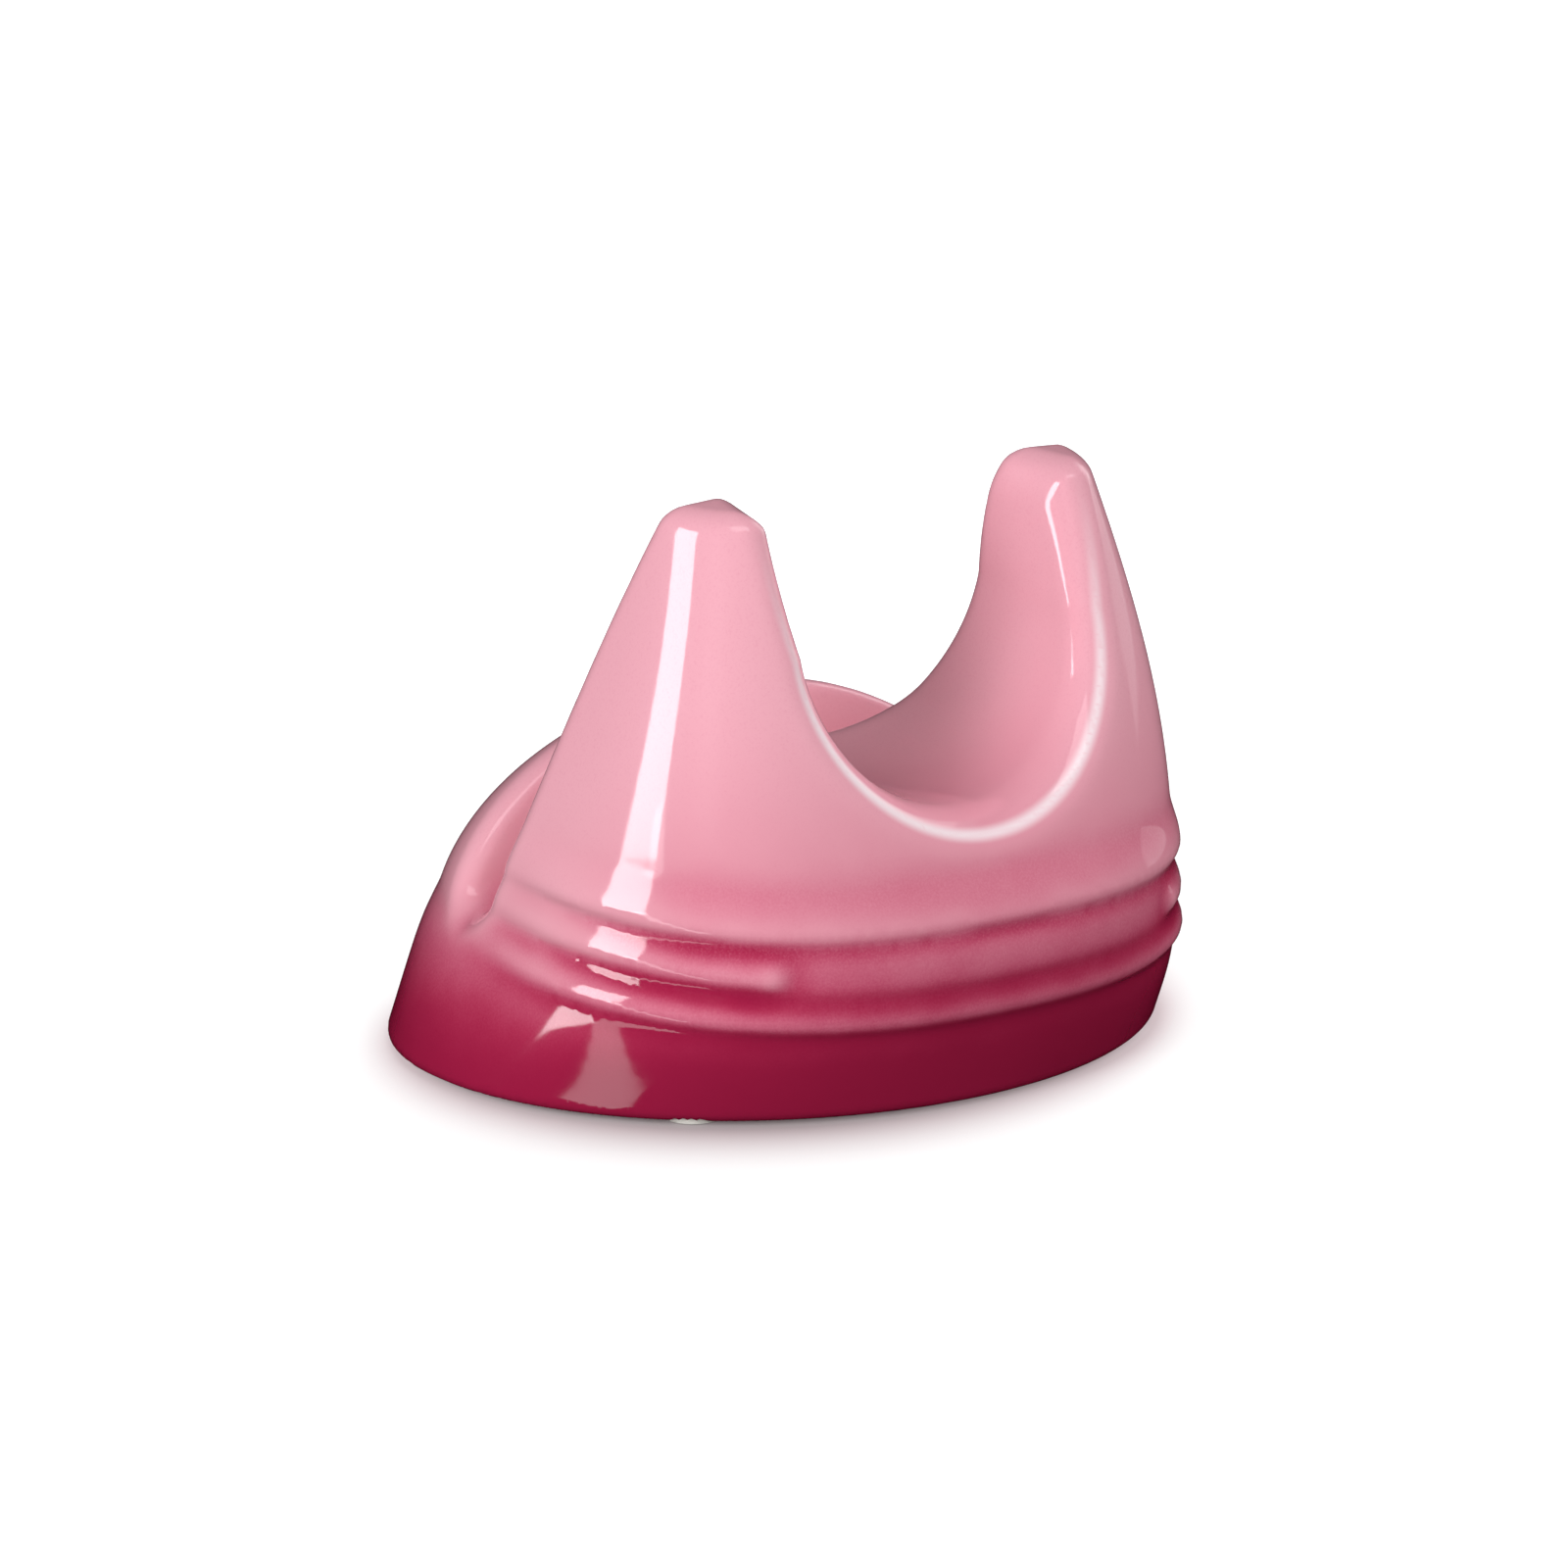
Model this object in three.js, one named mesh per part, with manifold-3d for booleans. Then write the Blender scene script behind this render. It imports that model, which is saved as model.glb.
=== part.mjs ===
// Pot lid holder: one glazed stoneware casting that stands on four non-slip pads.
// Millimetres, +Z up. The front faces -Y, and the slot for the lid runs along X.
// The casting is lofted through oval stations, then the slot, the knob notch and
// the foot recess are cut, and the long edges are rounded over by swept cutters.
import * as THREE from 'three';
import { mergeVertices } from 'three/addons/utils/BufferGeometryUtils.js';
import Module from 'manifold-3d';

const wasm = await Module();
wasm.setup();

// Overall form
const HEIGHT = 104.8;
const FOOT_HALF_WIDTH = 70.9;
const FOOT_FRONT = 63.2;
const FOOT_BACK = 58.4;
const FOOT_SQUARENESS = 2;
const BAND_Z = 17;
const BAND_HALF_WIDTH = 65.7;
const BAND_FRONT = 68.6;
const BAND_BACK = 54.7;
const BAND_WIDEST_Y = -3;
const BAND_SQUARENESS = 2.4;
const BELLY_Z = 30;
const BELLY_HALF_WIDTH = 60.8;
const BELLY_FRONT = 71;
const BELLY_BACK = 48.9;
const BELLY_WIDEST_Y = -5;
const BELLY_SQUARENESS = 2.6;
const SHOULDER_Z = 64;
const SHOULDER_HALF_WIDTH = 53;
const SHOULDER_FRONT = 61.5;
const SHOULDER_WIDEST_Y = -15;
const SHOULDER_SQUARENESS = 3.4;
const BROW_Z = 80;
const BROW_HALF_WIDTH = 50.1;
const BROW_FRONT = 55.6;
const BROW_WIDEST_Y = -19;
const BROW_SQUARENESS = 3.4;
const TIP_HALF_WIDTH = 43.9;
const TIP_FRONT = 42.3;
const TIP_WIDEST_Y = -20;
const TIP_SQUARENESS = 3.7;
const WALL_BACK = 38;
const TIP_ROUND = 6;
const FOOT_ROUND = 1.6;

// Raised rings round the front
const RING_COUNT = 3;
const RING_PITCH = 8;
const RING_HEIGHT = 1.2;
const RING_NOSE = 2.6;
const TOP_RING_RUNOUT = 10;
const RING_TILT = 0.05;
const RING_FULL_Y = -26;
const RING_END_Y = 8;
const PLATE_HALF_WIDTH = 38.5;
const PLATE_TAPER = 5;

// Lid slot and the hump behind it
const SLOT_FLOOR_Z = 26.6;
const SLOT_FLOOR_ROUND = 4.4;
const SLOT_CENTRE_Y = 6.2;
const SLOT_FLOOR_WIDTH = 8.4;
const WALL_LEAN = 0.39;
const HUMP_LEAN = 0.2;
const HUMP_HEIGHT = 56.9;
const HUMP_CREST_Y = 15.5;
const HUMP_CREST_DEPTH = 7.8;
const HUMP_SPRING = 0.26;
const BACK_SQUARENESS = 2.1;
const RIM_ROUND = 4.6;
const HORN_ROUND = 3;

// Knob notch between the horns
const NOTCH_FRONT_RADIUS = 30.9;
const NOTCH_BACK_RADIUS = 29.6;
const NOTCH_FRONT_CENTRE_Z = 80.2;
const NOTCH_BACK_CENTRE_Z = 75.5;
const NOTCH_FRONT_CLOSE = -0.25;
const NOTCH_BACK_CLOSE = 0.31;
const SADDLE_FRONT_Z = 39.3;
const SADDLE_BACK_Z = 53.2;
const SADDLE_SOFTNESS = 4;
const NOTCH_FRONT_ROUND = 5;
const NOTCH_BACK_ROUND = 3.2;
const NOTCH_ARC_SHARE = 0.68;

// Foot and pads
const FOOT_RIM = 14;
const RECESS_DEPTH = 2.4;
const PAD_RADIUS = 5;
const PAD_THICKNESS = 1.6;
const PAD_POCKET_DEPTH = 0.8;
const PAD_CLEARANCE = 0.3;
const PAD_GLUE = 0.1;
const PAD_ANGLE = 45;

// Facets
const FRONT_STEPS = 46;
const SIDE_STEPS = 4;
const BACK_STEPS = 30;
const HORN_STEPS = 7;
const EDGE_ARC_STEPS = 5;
const SLOT_EDGE_STEPS = 14;
const CREST_STEPS = 12;
const NOTCH_HALF_STEPS = 20;
const NOTCH_DEPTH_STEPS = 6;
const RECESS_SEGMENTS = 28;
const PAD_SEGMENTS = 24;
const LEAST_LEVEL_GAP = 0.15;
const CREST_START_TURN = 0.06;
const HALVINGS = 40;
const FACE_ROUNDS = 8;
const TURN_PROBE = 0.02;
const OVERCUT = 3;
const SLOT_SEAM = 1.5;
const EDGE_BITE = 0.05;
const EDGE_SKIN = 0.5;
const PROBE = 0.2;

// Oval sections from the foot to the tips
const STATIONS = [
  station(0, FOOT_HALF_WIDTH, FOOT_FRONT, 0, FOOT_BACK, FOOT_SQUARENESS),
  station(BAND_Z, BAND_HALF_WIDTH, BAND_FRONT, BAND_WIDEST_Y, BAND_BACK, BAND_SQUARENESS),
  station(BELLY_Z, BELLY_HALF_WIDTH, BELLY_FRONT, BELLY_WIDEST_Y, BELLY_BACK, BELLY_SQUARENESS),
  station(SHOULDER_Z, SHOULDER_HALF_WIDTH, SHOULDER_FRONT, SHOULDER_WIDEST_Y, WALL_BACK, SHOULDER_SQUARENESS),
  station(BROW_Z, BROW_HALF_WIDTH, BROW_FRONT, BROW_WIDEST_Y, WALL_BACK, BROW_SQUARENESS),
  station(HEIGHT, TIP_HALF_WIDTH, TIP_FRONT, TIP_WIDEST_Y, WALL_BACK, TIP_SQUARENESS),
];

const { lerp, clamp, smoothstep } = THREE.MathUtils;

const footMiddleY = (FOOT_BACK - FOOT_FRONT) / 2;
const footHalfDepth = (FOOT_BACK + FOOT_FRONT) / 2;

// Smooth curve through the stations

/** One oval section, with its reach to the front and to the back, its widest depth and its squareness. */
function station(z, halfWidth, front, widest, back, square) {
  return { z, halfWidth, front: -front, widest, side: back - widest, square };
}

/** Value of one station key at a height, on a monotone cubic through the stations. */
function at(height, key) {
  const last = STATIONS.length - 1;
  const z = clamp(height, 0, HEIGHT);
  let i = 0;
  while (i < last - 1 && z > STATIONS[i + 1].z) i += 1;
  const slope = (k) => (STATIONS[k + 1][key] - STATIONS[k][key]) / (STATIONS[k + 1].z - STATIONS[k].z);
  const tangent = (k) => {
    if (k === 0) return slope(0);
    if (k === last) return slope(last - 1);
    const before = slope(k - 1);
    const after = slope(k);
    return before * after <= 0 ? 0 : (2 * before * after) / (before + after);
  };
  const span = STATIONS[i + 1].z - STATIONS[i].z;
  const t = (z - STATIONS[i].z) / span;
  const rise = t * t * (3 - 2 * t);
  return lerp(STATIONS[i][key], STATIONS[i + 1][key], rise)
    + span * t * (1 - t) * ((1 - t) * tangent(i) - t * tangent(i + 1));
}

/** Share of a half width that is left at a share of the reach, on an oval of a squareness. */
function ovalShare(reach, square) {
  return Math.max(0, 1 - Math.min(1, Math.abs(reach)) ** square) ** (1 / square);
}

/** Point of an oval of unit reach, in a direction. */
function ovalPoint(turn, square) {
  const c = Math.cos(turn);
  const s = Math.sin(turn);
  const scale = (Math.abs(c) ** square + Math.abs(s) ** square) ** (-1 / square);
  return [c * scale, s * scale];
}

/** Half width of the front wall at a depth and height. */
function wallHalfWidth(y, z) {
  const dy = y - at(z, 'widest');
  const share = dy < 0
    ? ovalShare(dy / (at(z, 'widest') - at(z, 'front')), at(z, 'square'))
    : ovalShare(dy / at(z, 'side'), BACK_SQUARENESS);
  return at(z, 'halfWidth') * share;
}

/** Depth of the front face at a half width and height. */
function frontFaceY(x, z) {
  const share = ovalShare(x / at(z, 'halfWidth'), at(z, 'square'));
  return at(z, 'widest') - (at(z, 'widest') - at(z, 'front')) * share;
}

/** Oval of the hump at a height: it follows the foot up to the slot floor and then closes in an arch. */
function humpOval(z) {
  const low = Math.min(z, SLOT_FLOOR_Z);
  const rise = Math.max(0, (z - SLOT_FLOOR_Z) / (HUMP_HEIGHT - SLOT_FLOOR_Z));
  const arch = rise * lerp(HUMP_SPRING, 1, rise);
  return {
    widthSquared: at(low, 'halfWidth') ** 2 * (1 - arch),
    widest: lerp(at(low, 'widest'), HUMP_CREST_Y, Math.min(1, rise * rise)),
    depth: lerp(at(low, 'side'), HUMP_CREST_DEPTH, Math.min(1, arch)),
  };
}

/** Square of the hump's half width at a depth and height, negative above its crest. */
function humpWidthSquared(y, z) {
  const oval = humpOval(z);
  return oval.widthSquared * ovalShare(Math.max(0, y - oval.widest) / oval.depth, BACK_SQUARENESS) ** 2;
}

/** Half width of the hump at a depth and height. */
function humpHalfWidth(y, z) {
  return Math.sqrt(Math.max(0, humpWidthSquared(y, z)));
}

// Slot profile

const wallFootY = SLOT_CENTRE_Y - SLOT_FLOOR_WIDTH / 2;
const humpFootY = SLOT_CENTRE_Y + SLOT_FLOOR_WIDTH / 2;
const wallFaceY = (z) => wallFootY - WALL_LEAN * (z - SLOT_FLOOR_Z);
const humpFaceY = (z) => humpFootY + HUMP_LEAN * (z - SLOT_FLOOR_Z);
const wallFaceNormal = new THREE.Vector3(0, 1, WALL_LEAN).normalize();
const humpFaceNormal = new THREE.Vector3(0, -1, HUMP_LEAN).normalize();

/** Points of a round between two directions, about a centre in a plane of depth and height. */
function arcPoints(centreY, centreZ, radius, from, to, steps) {
  return Array.from({ length: steps + 1 }, (_, i) => {
    const turn = lerp(from, to, i / steps);
    return new THREE.Vector2(centreY + radius * Math.cos(turn), centreZ + radius * Math.sin(turn));
  });
}

/** Rounded floor of the slot, from the wall side to the hump side. */
function slotFloorArc() {
  const wallTurn = Math.atan(WALL_LEAN);
  const humpTurn = Math.atan(HUMP_LEAN);
  const r = Math.min(SLOT_FLOOR_ROUND, SLOT_FLOOR_WIDTH);
  const centreZ = SLOT_FLOOR_Z + r;
  const wallCentreY = wallFaceY(centreZ) + r / Math.cos(wallTurn);
  const humpCentreY = Math.max(wallCentreY, humpFaceY(centreZ) - r / Math.cos(humpTurn));
  const bottom = 1.5 * Math.PI;
  return [
    ...arcPoints(wallCentreY, centreZ, r, Math.PI + wallTurn, bottom, EDGE_ARC_STEPS),
    ...arcPoints(humpCentreY, centreZ, r, bottom, 2 * Math.PI - humpTurn, EDGE_ARC_STEPS)
      .slice(humpCentreY === wallCentreY ? 1 : 0),
  ];
}

// Loft and solid helpers

/** Closed mesh through rings of points: each ring has as many points, counter-clockwise from above. */
function loft(rings) {
  const count = rings[0].length;
  const points = rings.flat();
  const index = [];
  for (let k = 0; k < rings.length - 1; k += 1) {
    for (let i = 0; i < count; i += 1) {
      const a = k * count + i;
      const b = k * count + ((i + 1) % count);
      index.push(a, b, b + count, a, b + count, a + count);
    }
  }
  const cap = (ring, first, flip) => {
    const centre = ring.reduce((sum, p) => sum.add(p), new THREE.Vector3()).divideScalar(count);
    points.push(centre);
    for (let i = 0; i < count; i += 1) {
      const pair = [first + i, first + ((i + 1) % count)];
      index.push(points.length - 1, ...(flip ? pair.reverse() : pair));
    }
  };
  cap(rings[0], 0, true);
  cap(rings.at(-1), (rings.length - 1) * count, false);
  return new THREE.BufferGeometry().setFromPoints(points).setIndex(index);
}

/** Manifold solid of a closed geometry. */
function solid(geometry) {
  const bare = geometry.clone();
  bare.deleteAttribute('normal');
  bare.deleteAttribute('uv');
  const merged = mergeVertices(bare, 1e-3);
  return new wasm.Manifold(new wasm.Mesh({
    numProp: 3,
    vertProperties: new Float32Array(merged.attributes.position.array),
    triVerts: new Uint32Array(merged.index.array),
  }));
}

/** Geometry of a manifold solid. */
function geometryOf(body) {
  const mesh = body.getMesh();
  const geometry = new THREE.BufferGeometry();
  geometry.setAttribute('position', new THREE.BufferAttribute(new Float32Array(mesh.vertProperties), 3));
  geometry.setIndex(new THREE.BufferAttribute(new Uint32Array(mesh.triVerts), 1));
  return geometry;
}

// Casting blank

/** Height of a ring's outer lip above the wall at a place on the front. */
function ringLift(level, x, y) {
  let lift = 0;
  for (let i = 0; i < RING_COUNT; i += 1) {
    const up = level - BAND_Z - i * RING_PITCH;
    const run = i === RING_COUNT - 1 ? TOP_RING_RUNOUT : RING_PITCH;
    const lip = smoothstep(up, 0, RING_NOSE) * (1 - smoothstep(up, RING_NOSE, run));
    const crossesPlate = i > 0 && i < RING_COUNT - 1;
    const beside = smoothstep(Math.abs(x), PLATE_HALF_WIDTH, PLATE_HALF_WIDTH + PLATE_TAPER);
    lift = Math.max(lift, lip * (crossesPlate ? beside : 1));
  }
  return RING_HEIGHT * lift * (1 - smoothstep(y, RING_FULL_Y, RING_END_Y));
}

/** How far an edge round of a radius has drawn in at a depth below its face. */
function drawIn(depth, radius) {
  const reach = clamp(radius - depth, 0, radius);
  return radius - Math.sqrt(radius * radius - reach * reach);
}

/** How far a level of the blank climbs at a depth, so that the raised rings rise towards the back. */
function climb(level, y, onHump) {
  const fade = onHump ? smoothstep(level, BAND_Z, SLOT_FLOOR_Z) : smoothstep(level, SHOULDER_Z, HEIGHT);
  const past = onHump ? smoothstep(y, SLOT_CENTRE_Y, FOOT_BACK) : 0;
  const run = Math.min(y, SLOT_CENTRE_Y) + BELLY_FRONT;
  return RING_TILT * run * smoothstep(level, 0, BAND_Z) * (1 - fade) * (1 - past);
}

/** Point on the back of the blank; turn runs from 0 on the right to 1 on the left. */
function humpPoint(level, height, turn) {
  const startY = SLOT_CENTRE_Y + SLOT_SEAM;
  const oval = humpOval(height);
  const hump = oval.widthSquared > 1 ? oval : { widthSquared: 1, widest: startY, depth: 1 };
  const up = Math.max(0, startY - hump.widest) / hump.depth;
  const first = Math.atan2(up, ovalShare(up, BACK_SQUARENESS));
  const inset = drawIn(level, FOOT_ROUND);
  const [x, y] = ovalPoint(lerp(first, Math.PI - first, turn), BACK_SQUARENESS);
  return [x * (Math.sqrt(hump.widthSquared) - inset), hump.widest + y * (hump.depth - inset)];
}

/** Point on the front wall of the blank; turn runs from 0 on the left of the slot to 1 on its right. */
function wallPoint(level, height, turn) {
  const halfWidth = at(height, 'halfWidth');
  const middle = at(height, 'widest');
  const inset = drawIn(HEIGHT - level, TIP_ROUND) + drawIn(level, FOOT_ROUND);
  const step = turn * (FRONT_STEPS + 2 * SIDE_STEPS);
  const ahead = clamp(step - SIDE_STEPS, 0, FRONT_STEPS);
  const behind = Math.abs(step - SIDE_STEPS - ahead) / SIDE_STEPS;
  if (behind > 0) {
    const y = lerp(middle, SLOT_CENTRE_Y - SLOT_SEAM, behind);
    const share = ovalShare((y - middle) / at(height, 'side'), BACK_SQUARENESS);
    return [Math.sign(ahead - 0.5) * (halfWidth - inset + ringLift(level, halfWidth, y)) * share, y];
  }
  const reach = middle - at(height, 'front');
  const [x, y] = ovalPoint(Math.PI * (1 + ahead / FRONT_STEPS), at(height, 'square'));
  const lift = ringLift(level, halfWidth * x, middle + reach * y) - inset;
  return [x * (halfWidth + lift), middle + y * (reach + lift)];
}

/** One ring of the blank: over the back from right to left, then round the front wall. */
function blankRing(level) {
  const place = (pointAt, turn, onHump) => {
    const [, flatY] = pointAt(level, level, turn);
    const height = level + climb(level, flatY, onHump);
    const [x, y] = pointAt(level, height, turn);
    return new THREE.Vector3(x, y, height);
  };
  const wallSteps = FRONT_STEPS + 2 * SIDE_STEPS;
  return [
    ...Array.from({ length: BACK_STEPS + 1 }, (_, i) => place(humpPoint, i / BACK_STEPS, true)),
    ...Array.from({ length: wallSteps + 1 }, (_, i) => place(wallPoint, i / wallSteps, false)),
  ];
}

/** Heights of the blank's rings: close together on rounds, raised rings and the hump's arch. */
function blankLevels() {
  const levels = [0, 0.3, 1].map((t) => t * FOOT_ROUND);
  levels.push(0.35 * BAND_Z, 0.7 * BAND_Z);
  for (let i = 0; i < RING_COUNT; i += 1) {
    const run = i === RING_COUNT - 1 ? TOP_RING_RUNOUT : RING_PITCH;
    const start = BAND_Z + i * RING_PITCH;
    levels.push(start, start + RING_NOSE / 3, start + RING_NOSE * 0.7, start + RING_NOSE * 1.1);
    levels.push(lerp(start + RING_NOSE, start + run, 0.45));
  }
  const humpRises = [0.55, 0.68, 0.8, 0.88, 0.94, 0.98, 1];
  levels.push(...humpRises.map((t) => lerp(SLOT_FLOOR_Z, HUMP_HEIGHT, t)));
  for (let i = 1; i <= HORN_STEPS; i += 1) {
    levels.push(lerp(HUMP_HEIGHT, HEIGHT - TIP_ROUND, i / HORN_STEPS));
  }
  levels.push(...[0.35, 0.65, 0.87, 1].map((t) => HEIGHT - TIP_ROUND * (1 - t)));
  const sorted = levels.sort((p, q) => p - q);
  return sorted.filter((z, i) => i === 0 || z - sorted[i - 1] > LEAST_LEVEL_GAP);
}

// Cutters

/** Long cutter for the lid slot, with the wall's top edge rounded over. */
function slotCutter() {
  const turn = Math.atan(WALL_LEAN);
  const top = HEIGHT + OVERCUT;
  const r = HORN_ROUND;
  const edgeZ = HEIGHT - r;
  const edgeY = wallFaceY(edgeZ) - r / Math.cos(turn);
  const round = arcPoints(edgeY, edgeZ, r, turn, Math.PI / 2, EDGE_ARC_STEPS).reverse();
  const shape = new THREE.Shape([
    new THREE.Vector2(humpFaceY(top), top),
    new THREE.Vector2(edgeY, top),
    ...round,
    ...slotFloorArc(),
  ]);
  const length = 2 * (FOOT_HALF_WIDTH + OVERCUT);
  const geometry = new THREE.ExtrudeGeometry(shape, { depth: length, bevelEnabled: false });
  const turnToSlot = new THREE.Matrix4().makeBasis(
    new THREE.Vector3(0, 1, 0), new THREE.Vector3(0, 0, 1), new THREE.Vector3(1, 0, 0));
  return geometry.applyMatrix4(turnToSlot).translate(-length / 2, 0, 0);
}

/** Outward normal of a half-width surface such as the wall or the hump. */
function flankNormal(halfWidth, point) {
  const { x, y, z } = point;
  const growth = (dy, dz) => halfWidth(y + dy, z + dz) - halfWidth(y - dy, z - dz);
  return new THREE.Vector3(2 * PROBE * Math.sign(x || 1), -growth(PROBE, 0), -growth(0, PROBE)).normalize();
}

/** Outer edge of the slot: down one horn, over the hump and up the other horn. */
function slotEdge() {
  const half = [];
  const floor = slotFloorArc();
  for (let i = 0; i < SLOT_EDGE_STEPS; i += 1) {
    const z = lerp(HEIGHT + OVERCUT, floor[0].y + 1, i / (SLOT_EDGE_STEPS - 1));
    const point = new THREE.Vector3(wallHalfWidth(wallFaceY(z), z), wallFaceY(z), z);
    half.push({ point, inner: wallFaceNormal, outer: flankNormal(wallHalfWidth, point) });
  }
  const middle = floor.length / 2;
  floor.forEach((p, i) => {
    const next = floor[Math.min(i + 1, floor.length - 1)];
    const last = floor[Math.max(i - 1, 0)];
    const along = new THREE.Vector2().subVectors(next, last).normalize();
    const width = i < middle ? wallHalfWidth : humpHalfWidth;
    const point = new THREE.Vector3(width(p.x, p.y), p.x, p.y);
    half.push({ point, inner: new THREE.Vector3(0, -along.y, along.x), outer: flankNormal(width, point) });
  });
  const startZ = floor.at(-1).y;
  for (let i = 0; i <= CREST_STEPS; i += 1) {
    const turn = lerp(CREST_START_TURN, Math.PI / 2, i / CREST_STEPS);
    let near = 0;
    let far = FOOT_HALF_WIDTH;
    for (let k = 0; k < HALVINGS; k += 1) {
      const reach = (near + far) / 2;
      const z = startZ + reach * Math.sin(turn);
      const inside = z < HUMP_HEIGHT && reach * Math.cos(turn) < humpHalfWidth(humpFaceY(z), z);
      if (inside) near = reach;
      else far = reach;
    }
    const z = startZ + near * Math.sin(turn);
    const point = new THREE.Vector3(near * Math.cos(turn), humpFaceY(z), z);
    half.push({ point, inner: humpFaceNormal, outer: crestNormal(point) });
  }
  const mirror = ({ point, inner, outer }) => ({
    point: new THREE.Vector3(-point.x, point.y, point.z),
    inner,
    outer: new THREE.Vector3(-outer.x, outer.y, outer.z),
  });
  return [...half, ...half.slice(0, -1).reverse().map(mirror)];
}

/** Outward normal of the hump, also where its crest runs level. */
function crestNormal({ x, y, z }) {
  const growth = (dy, dz) => humpWidthSquared(y + dy, z + dz) - humpWidthSquared(y - dy, z - dz);
  return new THREE.Vector3(4 * PROBE * x, -growth(PROBE, 0), -growth(0, PROBE)).normalize();
}

/** Swept cutter that rounds over an edge between two faces. */
function edgeRoundCutter(edge, radiusAt) {
  const way = new THREE.Vector3().subVectors(edge[1].point, edge[0].point);
  const leftHanded = new THREE.Vector3().crossVectors(edge[0].inner, edge[0].outer).dot(way) > 0;
  const rings = edge.map(({ point, inner, outer }) => {
    const r = radiusAt(point.z);
    const spread = new THREE.Vector3().addVectors(inner, outer).divideScalar(1 + inner.dot(outer));
    const centre = point.clone().addScaledVector(spread, -r);
    const ring = [];
    for (let i = 0; i <= EDGE_ARC_STEPS; i += 1) {
      const out = new THREE.Vector3().lerpVectors(inner, outer, i / EDGE_ARC_STEPS).normalize();
      ring.push(centre.clone().addScaledVector(out, r + EDGE_BITE));
    }
    ring.push(centre.clone().addScaledVector(outer, r + EDGE_SKIN));
    ring.push(centre.clone().addScaledVector(spread, r + 2 * EDGE_SKIN));
    ring.push(centre.clone().addScaledVector(inner, r + EDGE_SKIN));
    return leftHanded ? ring.reverse() : ring;
  });
  return loft(rings);
}

/** Point of the notch's wall: q runs from the left tip at -1 over the saddle to the right tip at 1. */
function notchPoint(q, y) {
  const frontY = -BELLY_FRONT;
  const backY = wallFaceY(SADDLE_BACK_Z);
  const t = clamp((y - frontY) / (backY - frontY), 0, 1);
  const r = lerp(NOTCH_FRONT_RADIUS, NOTCH_BACK_RADIUS, t);
  const centreZ = lerp(NOTCH_FRONT_CENTRE_Z, NOTCH_BACK_CENTRE_Z, t);
  const side = Math.abs(q);
  if (side <= NOTCH_ARC_SHARE) {
    const turn = (q / NOTCH_ARC_SHARE) * (Math.PI / 2);
    const arcZ = centreZ - r * Math.cos(turn);
    const saddleZ = lerp(SADDLE_FRONT_Z, SADDLE_BACK_Z, t);
    const z = (arcZ + saddleZ + Math.hypot(arcZ - saddleZ, SADDLE_SOFTNESS)) / 2;
    return new THREE.Vector3(r * Math.sin(turn), y, z);
  }
  const up = ((side - NOTCH_ARC_SHARE) / (1 - NOTCH_ARC_SHARE)) * (HEIGHT + OVERCUT - centreZ);
  const close = lerp(NOTCH_FRONT_CLOSE, NOTCH_BACK_CLOSE, t);
  const z = centreZ + up;
  const x = r - close * up + drawIn(Math.max(HEIGHT - z, 0), TIP_ROUND);
  return new THREE.Vector3(Math.sign(q) * x, y, z);
}

/** Edge of the notch on a face whose depth is given, with the two faces' normals. */
function notchEdge(faceY) {
  const onFace = (q) => {
    let point = notchPoint(q, 0);
    for (let k = 0; k < FACE_ROUNDS; k += 1) {
      point = notchPoint(q, faceY(point.x, Math.min(point.z, HEIGHT)));
    }
    return point;
  };
  const facing = faceY(0, 0) < 0 ? -1 : 1;
  return notchTurns().map((q) => {
    const point = onFace(q);
    const across = notchPoint(q + TURN_PROBE, point.y).sub(notchPoint(q - TURN_PROBE, point.y));
    const along = notchPoint(q, point.y + 1).sub(notchPoint(q, point.y - 1));
    const z = Math.min(point.z, HEIGHT - 2 * PROBE);
    const slopeX = (faceY(point.x + PROBE, z) - faceY(point.x - PROBE, z)) / (2 * PROBE);
    const slopeZ = (faceY(point.x, z + PROBE) - faceY(point.x, z - PROBE)) / (2 * PROBE);
    return {
      point,
      inner: new THREE.Vector3().crossVectors(across, along).normalize(),
      outer: new THREE.Vector3(-slopeX, 1, -slopeZ).multiplyScalar(facing).normalize(),
    };
  });
}

/** Even turns along the notch's wall. */
function notchTurns() {
  const count = 2 * NOTCH_HALF_STEPS + 1;
  return Array.from({ length: count }, (_, i) => (i - NOTCH_HALF_STEPS) / NOTCH_HALF_STEPS);
}

/** Cutter for the knob notch, from before the belly to inside the slot. */
function notchCutter() {
  const rings = Array.from({ length: NOTCH_DEPTH_STEPS + 1 }, (_, k) => {
    const share = k / NOTCH_DEPTH_STEPS;
    const y = lerp(-BELLY_FRONT - OVERCUT, wallFaceY(SADDLE_BACK_Z) + 2 * OVERCUT, share);
    return notchTurns().map((q) => notchPoint(q, y)).reverse();
  });
  return loft(rings);
}

/** Shallow recess that leaves an unglazed rim to stand on. */
function recessCutter() {
  const shape = new THREE.Shape();
  const reach = [FOOT_HALF_WIDTH - FOOT_RIM, footHalfDepth - FOOT_RIM];
  shape.absellipse(0, footMiddleY, ...reach, 0, 2 * Math.PI);
  const settings = { depth: RECESS_DEPTH + OVERCUT, bevelEnabled: false, curveSegments: RECESS_SEGMENTS };
  return new THREE.ExtrudeGeometry(shape, settings).translate(0, 0, -OVERCUT);
}

/** Upright disc from one height to another. */
function disc(radius, fromZ, toZ) {
  const height = toZ - fromZ;
  return new THREE.CylinderGeometry(radius, radius, height, PAD_SEGMENTS).rotateX(Math.PI / 2)
    .translate(0, 0, fromZ + height / 2);
}

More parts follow.
